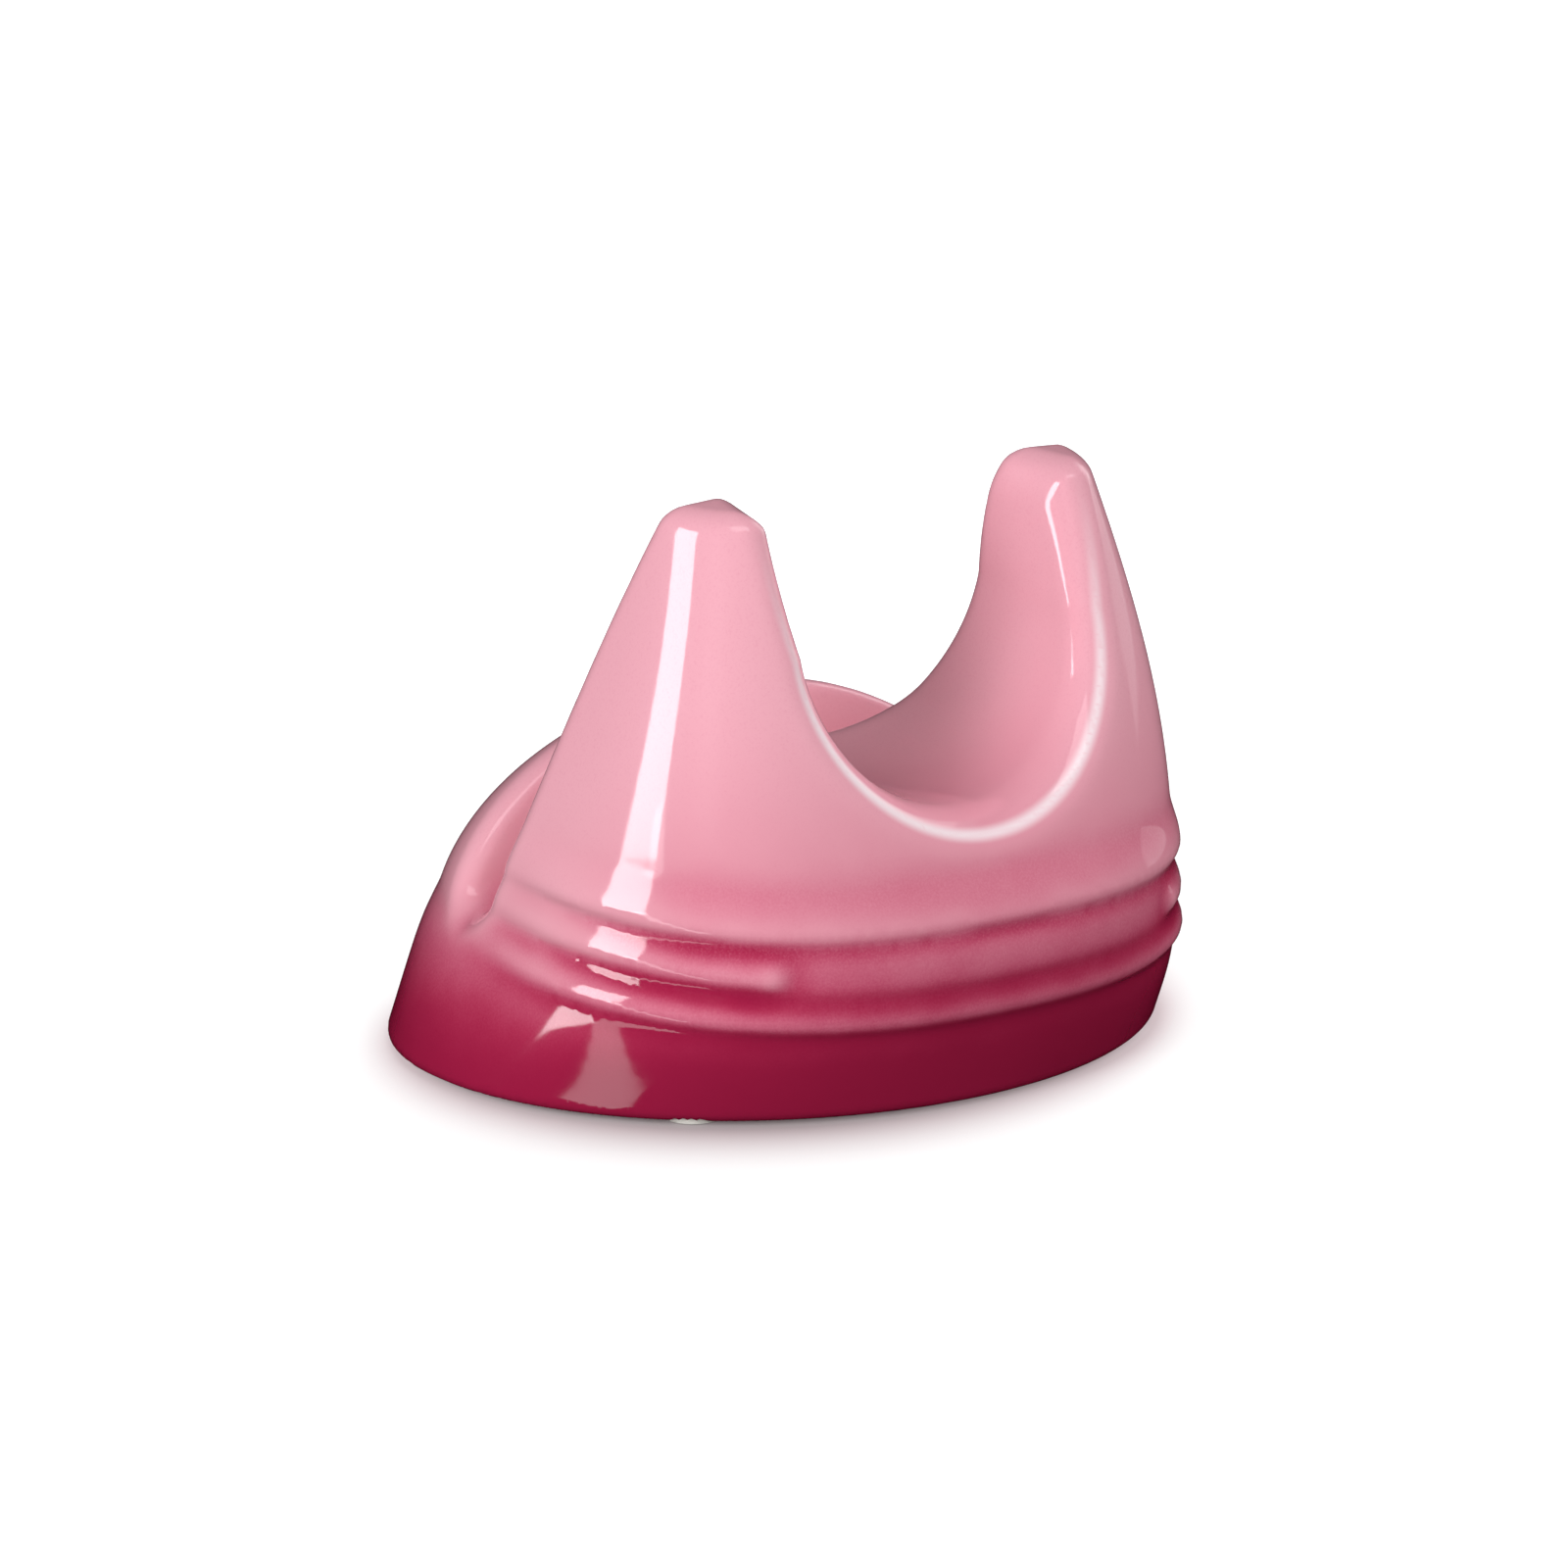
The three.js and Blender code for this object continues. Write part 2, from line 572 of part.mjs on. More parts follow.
/** Places of the pads by name, midway across the foot's rim. */
function padPlaces() {
  const x = (FOOT_HALF_WIDTH - FOOT_RIM / 2) * Math.cos(THREE.MathUtils.degToRad(PAD_ANGLE));
  const y = (footHalfDepth - FOOT_RIM / 2) * Math.sin(THREE.MathUtils.degToRad(PAD_ANGLE));
  return {
    foot_pad_front_left: new THREE.Vector3(-x, footMiddleY - y, 0),
    foot_pad_front_right: new THREE.Vector3(x, footMiddleY - y, 0),
    foot_pad_back_left: new THREE.Vector3(-x, footMiddleY + y, 0),
    foot_pad_back_right: new THREE.Vector3(x, footMiddleY + y, 0),
  };
}

/** Finished casting, with its foot at height zero. */
function castingGeometry() {
  const rimRound = (z) => lerp(RIM_ROUND, HORN_ROUND, smoothstep(z, HUMP_HEIGHT, HEIGHT));
  let body = solid(loft(blankLevels().map(blankRing)))
    .subtract(solid(slotCutter()))
    .subtract(solid(edgeRoundCutter(slotEdge(), rimRound)))
    .subtract(solid(notchCutter()))
    .subtract(solid(edgeRoundCutter(notchEdge(frontFaceY), () => NOTCH_FRONT_ROUND)))
    .subtract(solid(edgeRoundCutter(notchEdge((x, z) => wallFaceY(z)), () => NOTCH_BACK_ROUND)))
    .subtract(solid(recessCutter()));
  for (const place of Object.values(padPlaces())) {
    const pocket = disc(PAD_RADIUS + PAD_CLEARANCE, -OVERCUT, PAD_POCKET_DEPTH);
    body = body.subtract(solid(pocket.translate(place.x, place.y, 0)));
  }
  return geometryOf(body);
}

// Assembly

const holder = new THREE.Group();
const glaze = new THREE.MeshStandardMaterial({ color: 0xd98aa0, roughness: 0.12, metalness: 0 });
const standOff = PAD_THICKNESS + PAD_GLUE - PAD_POCKET_DEPTH;
const casting = new THREE.Mesh(castingGeometry(), glaze);
const middleY = new THREE.Box3().setFromObject(casting).getCenter(new THREE.Vector3()).y;
casting.name = 'stoneware_body';
casting.position.set(0, -middleY, standOff);
holder.add(casting);

for (const [name, place] of Object.entries(padPlaces())) {
  const rubber = new THREE.MeshStandardMaterial({ color: 0xe9e4dc, roughness: 0.7, metalness: 0 });
  const pad = new THREE.Mesh(disc(PAD_RADIUS, 0, PAD_THICKNESS), rubber);
  pad.name = name;
  pad.position.set(place.x, place.y - middleY, 0);
  holder.add(pad);
}

export default holder;
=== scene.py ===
"""Looks of a glazed stoneware pot lid holder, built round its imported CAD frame.

Metres, +Z up. The front faces -Y and the slot for the lid runs along X. The casting is one
smooth rule-made surface that stands for the CAD casting, and four soft pads stand under it.
"""

import logging
import math
from dataclasses import dataclass
from enum import Enum

import bpy
from mathutils import Matrix, Quaternion, Vector


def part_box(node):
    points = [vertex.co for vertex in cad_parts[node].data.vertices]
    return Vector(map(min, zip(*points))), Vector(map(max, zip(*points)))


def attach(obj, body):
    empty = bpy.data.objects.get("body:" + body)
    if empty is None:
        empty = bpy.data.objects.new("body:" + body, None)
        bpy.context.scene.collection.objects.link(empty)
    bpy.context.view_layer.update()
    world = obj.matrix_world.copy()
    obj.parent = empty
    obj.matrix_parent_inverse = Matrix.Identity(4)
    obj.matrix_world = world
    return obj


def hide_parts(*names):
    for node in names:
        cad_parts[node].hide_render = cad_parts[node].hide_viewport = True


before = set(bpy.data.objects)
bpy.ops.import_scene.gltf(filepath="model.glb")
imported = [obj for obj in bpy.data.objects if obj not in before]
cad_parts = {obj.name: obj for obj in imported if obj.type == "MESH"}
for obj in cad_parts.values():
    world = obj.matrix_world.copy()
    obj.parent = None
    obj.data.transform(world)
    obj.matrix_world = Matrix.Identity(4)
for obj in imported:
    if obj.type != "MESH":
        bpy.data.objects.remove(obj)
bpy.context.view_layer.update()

LOG = logging.getLogger("pot_lid_holder")
Tree = bpy.types.NodeTree
Node = bpy.types.Node
Socket = bpy.types.NodeSocket

MM = 0.001
ELLIPSE = 2.0
WHITE = (1.0, 1.0, 1.0, 1.0)
IMAGE_SIZE = 1600
SENSOR_WIDTH = 36.0
BODY = "root"
CASTING_NODE = "stoneware_body"
PAD_NODES = (
    "foot_pad_front_left",
    "foot_pad_front_right",
    "foot_pad_back_left",
    "foot_pad_back_right",
)


class Slot(Enum):
    """Material slots of the record."""

    GLAZE = "glazed_stoneware"
    PAD = "foot_pad"


class Station(Enum):
    """Sizes that change with the height of the casting."""

    HALF_WIDTH = 0
    FRONT = 1
    WIDEST = 2
    SIDE = 3
    SQUARENESS = 4


class Num:
    """A number in a node tree: arithmetic on it adds Math nodes to that tree."""

    def __init__(self, tree: Tree, socket: Socket) -> None:
        """Keeps the tree and the socket that gives the number.

        Args:
            tree: Tree that the number belongs to.
            socket: Output that carries it.
        """
        self.tree = tree
        self.socket = socket

    def math(self, operation: str, *terms: "Num | float", clamp: bool = False) -> "Num":
        """Adds a Math node.

        Args:
            operation: Blender's name of the operation.
            terms: Operands after this number.
            clamp: Whether the result is held between 0 and 1.

        Returns:
            The node's result.
        """
        node = self.tree.nodes.new("ShaderNodeMath")
        node.operation = operation
        node.use_clamp = clamp
        for slot, term in zip(node.inputs, (self, *terms)):
            put(self.tree, slot, term)
        return Num(self.tree, node.outputs[0])

    def __add__(self, other: "Num | float") -> "Num":
        """Sum."""
        return self.math("ADD", other)

    __radd__ = __add__

    def __sub__(self, other: "Num | float") -> "Num":
        """Difference."""
        return self.math("SUBTRACT", other)

    def __rsub__(self, other: float) -> "Num":
        """Difference from a constant."""
        return self.math("MULTIPLY_ADD", -1.0, other)

    def __mul__(self, other: "Num | float") -> "Num":
        """Product."""
        return self.math("MULTIPLY", other)

    __rmul__ = __mul__

    def __truediv__(self, other: "Num | float") -> "Num":
        """Quotient."""
        return self.math("DIVIDE", other)

    def __pow__(self, other: "Num | float") -> "Num":
        """Power."""
        return self.math("POWER", other)

    def __neg__(self) -> "Num":
        """Negative."""
        return self.math("MULTIPLY", -1.0)

    def __abs__(self) -> "Num":
        """Absolute value."""
        return self.math("ABSOLUTE")

    def max(self, other: "Num | float") -> "Num":
        """Larger of two numbers."""
        return self.math("MAXIMUM", other)

    def min(self, other: "Num | float") -> "Num":
        """Smaller of two numbers."""
        return self.math("MINIMUM", other)

    def step(self, low: float, high: float) -> "Num":
        """Adds a smooth step.

        Args:
            low: Value up to which the step is 0.
            high: Value from which it is 1.

        Returns:
            Height of the step at this number.
        """
        node = self.tree.nodes.new("ShaderNodeMapRange")
        node.interpolation_type = "SMOOTHSTEP"
        put(self.tree, node.inputs["Value"], self)
        node.inputs["From Min"].default_value = low
        node.inputs["From Max"].default_value = high
        return Num(self.tree, node.outputs["Result"])

    def share(self, low: float, high: float) -> "Num":
        """Straight share from 0 at one value to 1 at another, held between them."""
        return ((self - low) * (1.0 / (high - low))).math("ADD", 0.0, clamp=True)


def put(tree: Tree, slot: Socket, term: object) -> None:
    """Links a number or socket to an input, or writes a constant there.

    Args:
        tree: Tree that holds the input.
        slot: Input socket.
        term: Number, output socket or constant.
    """
    if isinstance(term, Num):
        tree.links.new(term.socket, slot)
    elif isinstance(term, Socket):
        tree.links.new(term, slot)
    else:
        slot.default_value = term


def add_node(tree: Tree, kind: str, **inputs: object) -> Node:
    """Adds a node and fills its inputs.

    Args:
        tree: Tree that gets the node.
        kind: Blender's type name of the node.
        inputs: Value of each input, by its name with _ for a space.

    Returns:
        The node.
    """
    node = tree.nodes.new(kind)
    for name, term in inputs.items():
        put(tree, node.inputs[name.replace("_", " ")], term)
    return node


def new_tree(name: str, kinds: dict[str, str]) -> tuple[Tree, Node, dict[str, str]]:
    """Starts a Geometry Nodes tree that gives out one mesh.

    Args:
        name: Name of the tree.
        kinds: Socket type of each input, by the input's name.

    Returns:
        The tree, the node that gives its inputs, and the identifier of each input by name.
    """
    tree = bpy.data.node_groups.new(name, "GeometryNodeTree")
    names = {
        title: tree.interface.new_socket(title, in_out="INPUT", socket_type=kind).identifier
        for title, kind in kinds.items()
    }
    tree.interface.new_socket("Geometry", in_out="OUTPUT", socket_type="NodeSocketGeometry")
    return tree, tree.nodes.new("NodeGroupInput"), names


def end_tree(tree: Tree, mesh: Socket, material: Socket) -> None:
    """Ends a Geometry Nodes tree with a plain mesh that wears one material.

    Args:
        tree: Tree that ends.
        mesh: Its mesh, which may hold instances.
        material: Input that gives the material.
    """
    real = add_node(tree, "GeometryNodeRealizeInstances", Geometry=mesh)
    dressed = add_node(tree, "GeometryNodeSetMaterial", Geometry=real.outputs[0], Material=material)
    leave = tree.nodes.new("NodeGroupOutput")
    put(tree, leave.inputs["Geometry"], dressed.outputs[0])


def new_material(name: str) -> tuple[bpy.types.Material, Tree, Node]:
    """Starts a material.

    Args:
        name: Name of the finish.

    Returns:
        The material, its node tree and its shader.
    """
    material = bpy.data.materials.new(name)
    material.use_nodes = True
    return material, material.node_tree, material.node_tree.nodes["Principled BSDF"]


def towards(turn: float, tilt: float) -> Vector:
    """Direction from the holder to a place round it.

    Args:
        turn: Angle about the vertical from the front, positive to the right, in radians.
        tilt: Angle over the floor, in radians.

    Returns:
        The direction, of length 1.
    """
    return Vector((math.sin(turn) * math.cos(tilt), -math.cos(turn) * math.cos(tilt), math.sin(tilt)))


def mix(a: Num | float, b: Num | float, t: Num) -> Num:
    """Straight mix of two numbers by a share."""
    return t * (b - a) + a


def hypot(a: Num, b: Num) -> Num:
    """Length of a pair of numbers."""
    return (a * a + b * b).math("SQRT")


def round_max(a: Num, b: Num, radius: Num | float) -> Num:
    """Overlap of two forms whose common edge is rounded over.

    Args:
        a: Distance field of one form, negative inside.
        b: Distance field of the other.
        radius: Radius of the round.

    Returns:
        Distance field of the overlap.
    """
    flat = a.max(b).min(-radius)
    return flat + hypot((a + radius).max(0.0), (b + radius).max(0.0))


def oval_distance(
    x: Num, y: Num, reach_x: Num | float, reach_y: Num | float, square: Num | float
) -> Num:
    """Distance from an oval of a squareness.

    Args:
        x: Place across.
        y: Place along.
        reach_x: Half width of the oval.
        reach_y: Half depth of the oval.
        square: Squareness, 2 for an ellipse.

    Returns:
        Distance field, negative inside.
    """
    tiny = 1e-3
    u = (abs(x) / reach_x).max(tiny)
    v = (abs(y) / reach_y).max(tiny)
    g = (u ** square + v ** square) ** (1.0 / square if isinstance(square, float) else square ** -1.0)
    less = square - 1.0
    steep = hypot((u / g) ** less / reach_x, (v / g) ** less / reach_y)
    return (g - 1.0) / steep


def cubic(points: list[tuple[float, float]], place: float) -> float:
    """Value of the cubic through four points.

    Args:
        points: Place and value of each point.
        place: Where the cubic is read.

    Returns:
        Its value there.
    """
    total = 0.0
    for here, value in points:
        others = [other for other, _ in points if other != here]
        total += value * math.prod((place - other) / (here - other) for other in others)
    return total


@dataclass
class Casting:
    """The one stoneware casting: front wall with two horns, rings, slot, notch and hump.

    A row of the profile holds a height and the sizes of Station there, in millimetres. The notch's
    radii, centres, closing slopes and saddles are pairs, for its front and for its back.
    """

    cell: float = 1.02 * MM
    height: float = 104.2 * MM
    profile: tuple = (
        (0.0, 70.7, -63.1, 0.0, 58.2, 2.0),
        (17.0, 65.7, -68.6, -3.0, 57.7, 2.4),
        (30.0, 60.8, -70.9, -5.0, 53.9, 2.6),
        (64.0, 54.1, -60.2, -13.1, 44.0, 3.46),
        (80.0, 49.9, -55.1, -12.4, 39.3, 3.91),
        (104.5, 43.5, -47.3, -4.1, 32.2, 4.48),
    )
    belly: int = 2
    joint_step: float = 0.5
    knots: int = 32
    least_spread: float = 1e-6
    wall_depth: float = 55.0 * MM
    back_square: float = 2.1
    tip_round: float = 3.2 * MM
    tip_tilt: float = 0.03
    tip_fall: float = 0.06
    tip_x: float = 35.0 * MM
    tip_y: float = -27.0 * MM
    foot_round: float = 1.6 * MM
    ring_starts: tuple = (15.2 * MM, 23.6 * MM, 31.8 * MM)
    ring_runs: tuple = (8.4 * MM, 8.2 * MM, 11.0 * MM)
    ring_lifts: tuple = (1.4 * MM, 1.4 * MM, 1.4 * MM)
    ring_tilts: tuple = (0.09, 0.065, 0.05)
    ring_nose: float = 3.2 * MM
    ring_front_y: float = -70.0 * MM
    ring_full_y: float = -26.0 * MM
    ring_end_y: float = 8.0 * MM
    plate_half_width: float = 38.5 * MM
    plate_taper: float = 5.0 * MM
    slot_floor_z: float = 26.6 * MM
    slot_floor_round: float = 4.4 * MM
    wall_foot_y: float = 2.0 * MM
    wall_lean: float = 0.39
    hump_foot_y: float = 10.4 * MM
    hump_lean: float = 0.2
    hump_height: float = 56.8 * MM
    hump_crest_y: float = 15.5 * MM
    hump_crest_depth: float = 7.8 * MM
    hump_spring: float = 0.26
    hump_least: float = 0.02
    hump_round: float = 4.0 * MM
    seam: tuple = (0.0 * MM, 9.0 * MM)
    rim_round: float = 4.6 * MM
    horn_round: float = 3.0 * MM
    rim_fade: tuple = (50.0 * MM, 90.0 * MM)
    notch_front_y: float = -62.0 * MM
    notch_back_y: float = -8.0 * MM
    notch_run: tuple = (-0.3, 1.3)
    notch_radii: tuple = (28.4 * MM, 29.35 * MM)
    flare_depth: float = 8.9 * MM
    flare_radius: float = 13.25 * MM
    notch_centres: tuple = (79.3 * MM, 80.6 * MM)
    notch_close: tuple = (-0.30, 0.314)
    saddles: tuple = (40.05 * MM, 53.2 * MM)
    saddle_round: float = 8.0 * MM
    notch_round: float = 3.4 * MM
    notch_backs: tuple = (7.5 * MM, 3.0 * MM)
    notch_fade: tuple = (60.0 * MM, 95.0 * MM)
    notch_end_y: float = 4.0 * MM
    foot_rim: float = 14.0 * MM
    foot_middle_y: float = -2.4 * MM
    foot_half_depth: float = 60.8 * MM
    recess_depth: float = 2.4 * MM
    pocket_radius: float = 5.3 * MM
    pocket_depth: float = 0.8 * MM
    foot_soft: float = 0.5 * MM
    margin: float = 3.0 * MM
    relax: int = 2
    probe: float = 0.05 * MM
    least_slope: float = 0.05
    ridge_depth: float = 2.0 * MM
    blur_rounds: int = 12
    even_rounds: int = 4

    @property
    def origin(self) -> Vector:
        """Finds the point from which the casting is measured, at its foot.

        Returns:
            The point, in the shared frame.
        """
        middles = [sum(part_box(node), Vector()) / 2 for node in PAD_NODES]
        pads_y = sum(m.y for m in middles) / len(middles)
        return Vector((0.0, pads_y - self.foot_middle_y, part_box(CASTING_NODE)[0].z))

    def station(self, key: Station, height: float) -> float:
        """One size of the casting at a height: one cubic above the belly, joined smoothly below it.

        Args:
            key: Which size.
            height: Height above the casting's foot, in millimetres.

        Returns:
            The size, in millimetres, or the squareness.
        """
        zs = [row[0] for row in self.profile]
        vs = [row[key.value + 1] for row in self.profile]
        upper = list(zip(zs, vs))[self.belly:]
        if height >= zs[self.belly]:
            return cubic(upper, height)
        before, after = ((vs[k + 1] - vs[k]) / (zs[k + 1] - zs[k]) for k in range(self.belly))
        middle = 0.0 if before * after <= 0 else 2 * before * after / (before + after)
        joint = (cubic(upper, zs[self.belly] + self.joint_step) - vs[self.belly]) / self.joint_step
        slopes = (before, middle, joint)
        i = 0 if height < zs[1] else 1
        span = zs[i + 1] - zs[i]
        t = max((height - zs[i]) / span, 0.0)
        rise = t * t * (3 - 2 * t)
        bend = span * t * (1 - t) * ((1 - t) * slopes[i] - t * slopes[i + 1])
        return vs[i] + (vs[i + 1] - vs[i]) * rise + bend

    def station_curve(self, tree: Tree, z: Num, key: Station) -> Num:
        """Adds the curve of one size over the height.

        Args:
            tree: Tree that gets the curve.
            z: Height above the casting's foot.
            key: Which size.

        Returns:
            The size at that height.
        """
        top = self.profile[-1][0]
        shares = [i / self.knots for i in range(self.knots + 1)]
        values = [self.station(key, top * t) for t in shares]
        low, high = min(values), max(values)
        node = tree.nodes.new("ShaderNodeFloatCurve")
        points = node.mapping.curves[0].points
        spread = max(high - low, self.least_spread)
        points[0].location = (0.0, (values[0] - low) / spread)
        points[1].location = (1.0, (values[-1] - low) / spread)
        for t, value in zip(shares[1:-1], values[1:-1]):
            points.new(t, (value - low) / spread)
        node.mapping.update()
        put(tree, node.inputs["Value"], z * (1.0 / (top * MM)))
        unit = 1.0 if key is Station.SQUARENESS else MM
        return Num(tree, node.outputs[0]) * (spread * unit) + low * unit

    def stations(self, tree: Tree, z: Num, *keys: Station) -> list[Num]:
        """Adds the curves of several sizes over the height."""
        return [self.station_curve(tree, z, key) for key in keys]

    def rings(self, x: Num, y: Num, z: Num) -> Num:
        """Lift of the three raised rings, the middle one with a bare field at the front.

        Args:
            x: Place across.
            y: Place along.
            z: Height above the casting's foot.

        Returns:
            Lift over the plain wall.
        """
        lifts = []
        rings = zip(self.ring_starts, self.ring_runs, self.ring_lifts, self.ring_tilts)
        for i, (start, run, lift, tilt) in enumerate(rings):
            up = z - start - (y - self.ring_front_y) * tilt
            lip = up.step(0.0, self.ring_nose) * (1.0 - up.step(self.ring_nose, run)) * lift
            if i == 1:
                lip = lip * abs(x).step(self.plate_half_width, self.plate_half_width + self.plate_taper)
            lifts.append(lip)
        return lifts[0].max(lifts[1]).max(lifts[2]) * (1.0 - y.step(self.ring_full_y, self.ring_end_y))

    def outside(self, tree: Tree, x: Num, y: Num, z: Num) -> Num:
        """Outer form: the front wall up to its tips, and the hump behind the slot.

        Args:
            tree: Tree that gets the nodes.
            x: Place across.
            y: Place along.
            z: Height above the casting's foot.

        Returns:
            Distance field, negative inside.
        """
        keys = (Station.HALF_WIDTH, Station.FRONT, Station.WIDEST, Station.SQUARENESS)
        wide, front, middle, square = self.stations(tree, z, *keys)
        dy = y - middle
        ahead = dy.math("LESS_THAN", 0.0)
        reach = mix(self.wall_depth, middle - front, ahead)
        wall = oval_distance(x, dy, wide, reach, mix(self.back_square, square, ahead))
        wall = wall - self.rings(x, y, z)
        tip = (y - self.tip_y) * self.tip_tilt - (abs(x) - self.tip_x) * self.tip_fall + self.height
        wall = round_max(wall, z - tip, self.tip_round)
        low = z.min(self.slot_floor_z)
        wide, middle, side = self.stations(tree, low, Station.HALF_WIDTH, Station.WIDEST, Station.SIDE)
        rise = (z - self.slot_floor_z).max(0.0) * (1.0 / (self.hump_height - self.slot_floor_z))
        arch = (rise * (rise * (1.0 - self.hump_spring) + self.hump_spring)).min(1.0)
        wide = wide * (1.0 - arch).max(self.hump_least).math("SQRT")
        middle = mix(middle, self.hump_crest_y, (rise * rise).min(1.0))
        side = mix(side, self.hump_crest_depth, arch)
        dy = y - middle
        reach = mix(side, self.profile[0][1] * MM, dy.math("LESS_THAN", 0.0))
        hump = oval_distance(x, dy, wide, reach, self.back_square)
        hump = round_max(hump, z - self.hump_height, self.hump_round)
        return mix(wall, hump, y.step(*self.seam))

    def slot(self, y: Num, z: Num) -> Num:
        """Slot for the lid, between the leaning wall and the hump.

        Args:
            y: Place along.
            z: Height above the casting's foot.

        Returns:
            Distance field of the slot, negative inside it.
        """
        up = z - self.slot_floor_z
        wall = (self.wall_foot_y - y - up * self.wall_lean) * math.cos(math.atan(self.wall_lean))
        hump = (y - self.hump_foot_y - up * self.hump_lean) * math.cos(math.atan(self.hump_lean))
        sides = round_max(wall, hump, self.slot_floor_round)
        return round_max(sides, -up, self.slot_floor_round)

    def notch(self, x: Num, y: Num, z: Num, outside: Num) -> tuple[Num, Num]:
        """Notch for the lid's knob, flared towards the front wall's face.

        Args:
            x: Place across.
            y: Place along.
            z: Height above the casting's foot.
            outside: Distance field of the outer form.

        Returns:
            Distance field of the notch, negative inside it, and the radius of its edges.
        """
        t = (y - self.notch_front_y) * (1.0 / (self.notch_back_y - self.notch_front_y))
        t = t.max(self.notch_run[0]).min(self.notch_run[1])
        radius = mix(*self.notch_radii, t)
        up = z - mix(*self.notch_centres, t)
        flare = (outside + self.flare_depth).max(0.0)
        radius = radius - mix(*self.notch_close, t) * up.max(0.0)
        radius = radius + flare * flare * (0.5 / self.flare_radius)
        sides = hypot(x, up.min(0.0)) - radius
        cut = round_max(sides, mix(*self.saddles, t) - z, self.saddle_round)
        back = mix(*self.notch_backs, z.step(*self.notch_fade))
        return cut.max(y - self.notch_end_y), mix(self.notch_round, back, t.max(0.0).min(1.0))

    def foot(self, x: Num, y: Num, z: Num, body: Num) -> Num:
        """Cuts the shallow recess and the pads' pockets into the foot.

        Args:
            x: Place across.
            y: Place along.
            z: Height above the casting's foot.
            body: Distance field of the casting so far.

        Returns:
            Distance field of the finished casting.
        """
        y = y - self.foot_middle_y
        reach_x = self.profile[0][1] * MM - self.foot_rim
        reach_y = self.foot_half_depth - self.foot_rim
        recess = oval_distance(x, y, reach_x, reach_y, ELLIPSE).max(z - self.recess_depth)
        body = round_max(body, -recess, self.foot_soft)
        pad = sum(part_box(PAD_NODES[-1]), Vector()) / 2 - self.origin
        pocket = hypot(abs(x) - pad.x, abs(y) - (pad.y - self.foot_middle_y)) - self.pocket_radius
        return body.max(-pocket.max(z - self.pocket_depth))

    def field_group(self) -> Tree:
        """Builds the rule of the casting's form as a node group.

        Returns:
            Group that turns a position into a distance, negative inside, and into the distance from
            the ridge of the notch's front edge.
        """
        tree = bpy.data.node_groups.new("casting_rule", "GeometryNodeTree")
        tree.interface.new_socket("Position", in_out="INPUT", socket_type="NodeSocketVector")
        tree.interface.new_socket("Distance", in_out="OUTPUT", socket_type="NodeSocketFloat")
        tree.interface.new_socket("Ridge", in_out="OUTPUT", socket_type="NodeSocketFloat")
        entry = tree.nodes.new("NodeGroupInput")
        parts = add_node(tree, "ShaderNodeSeparateXYZ", Vector=entry.outputs["Position"])
        x, y, z = (Num(tree, socket) - place for socket, place in zip(parts.outputs, self.origin))
        rim = mix(self.rim_round, self.horn_round, z.step(*self.rim_fade))
        outside = self.outside(tree, x, y, z)
        body = round_max(outside, -self.slot(y, z), rim)
        notch, edge = self.notch(x, y, z, outside)
        body = round_max(body, -notch, edge)
        body = round_max(body, -z, self.foot_round)
        body = self.foot(x, y, z, body)
        leave = tree.nodes.new("NodeGroupOutput")
        put(tree, leave.inputs["Distance"], body)
        put(tree, leave.inputs["Ridge"], abs(outside + notch).max(-outside - self.ridge_depth))
        return tree

    def settle(self, tree: Tree, mesh: Socket, rule: Tree) -> Socket:
        """Adds nodes that even out the mesh and set each point on the rule's surface.

        Args:
            tree: Tree that gets the nodes.
            mesh: Mesh so far.
            rule: Group of the casting's form.

        Returns:
            The settled mesh.
        """
        position = tree.nodes.new("GeometryNodeInputPosition").outputs[0]
        smooth = blurred(tree, position, "FLOAT_VECTOR", 1)
        even = add_node(tree, "GeometryNodeSetPosition", Geometry=mesh, Position=smooth)
        here = self.measure(tree, rule, position, "Distance")
        slopes = []
        for axis in range(3):
            offset = [self.probe if i == axis else 0.0 for i in range(3)]
            beside = vector_math(tree, "ADD", position, offset)
            slopes.append((self.measure(tree, rule, beside, "Distance") - here) * (1.0 / self.probe))
        slope = add_node(tree, "ShaderNodeCombineXYZ", X=slopes[0], Y=slopes[1], Z=slopes[2]).outputs[0]
        steep = slopes[0] * slopes[0] + slopes[1] * slopes[1] + slopes[2] * slopes[2]
        push = vector_math(tree, "SCALE", slope, scale=-(here / steep.max(self.least_slope)))
        settled = add_node(tree, "GeometryNodeSetPosition", Geometry=even.outputs[0], Offset=push)
        return settled.outputs[0]

    @staticmethod
    def measure(tree: Tree, rule: Tree, position: Socket, output: str) -> Num:
        """Runs the rule on a position.

        Args:
            tree: Tree that gets the node.
            rule: Group of the casting's form.
            position: Position to measure at.
            output: Name of the rule's output.

        Returns:
            That output.
        """
        node = tree.nodes.new("GeometryNodeGroup")
        node.node_tree = rule
        put(tree, node.inputs["Position"], position)
        return Num(tree, node.outputs[output])

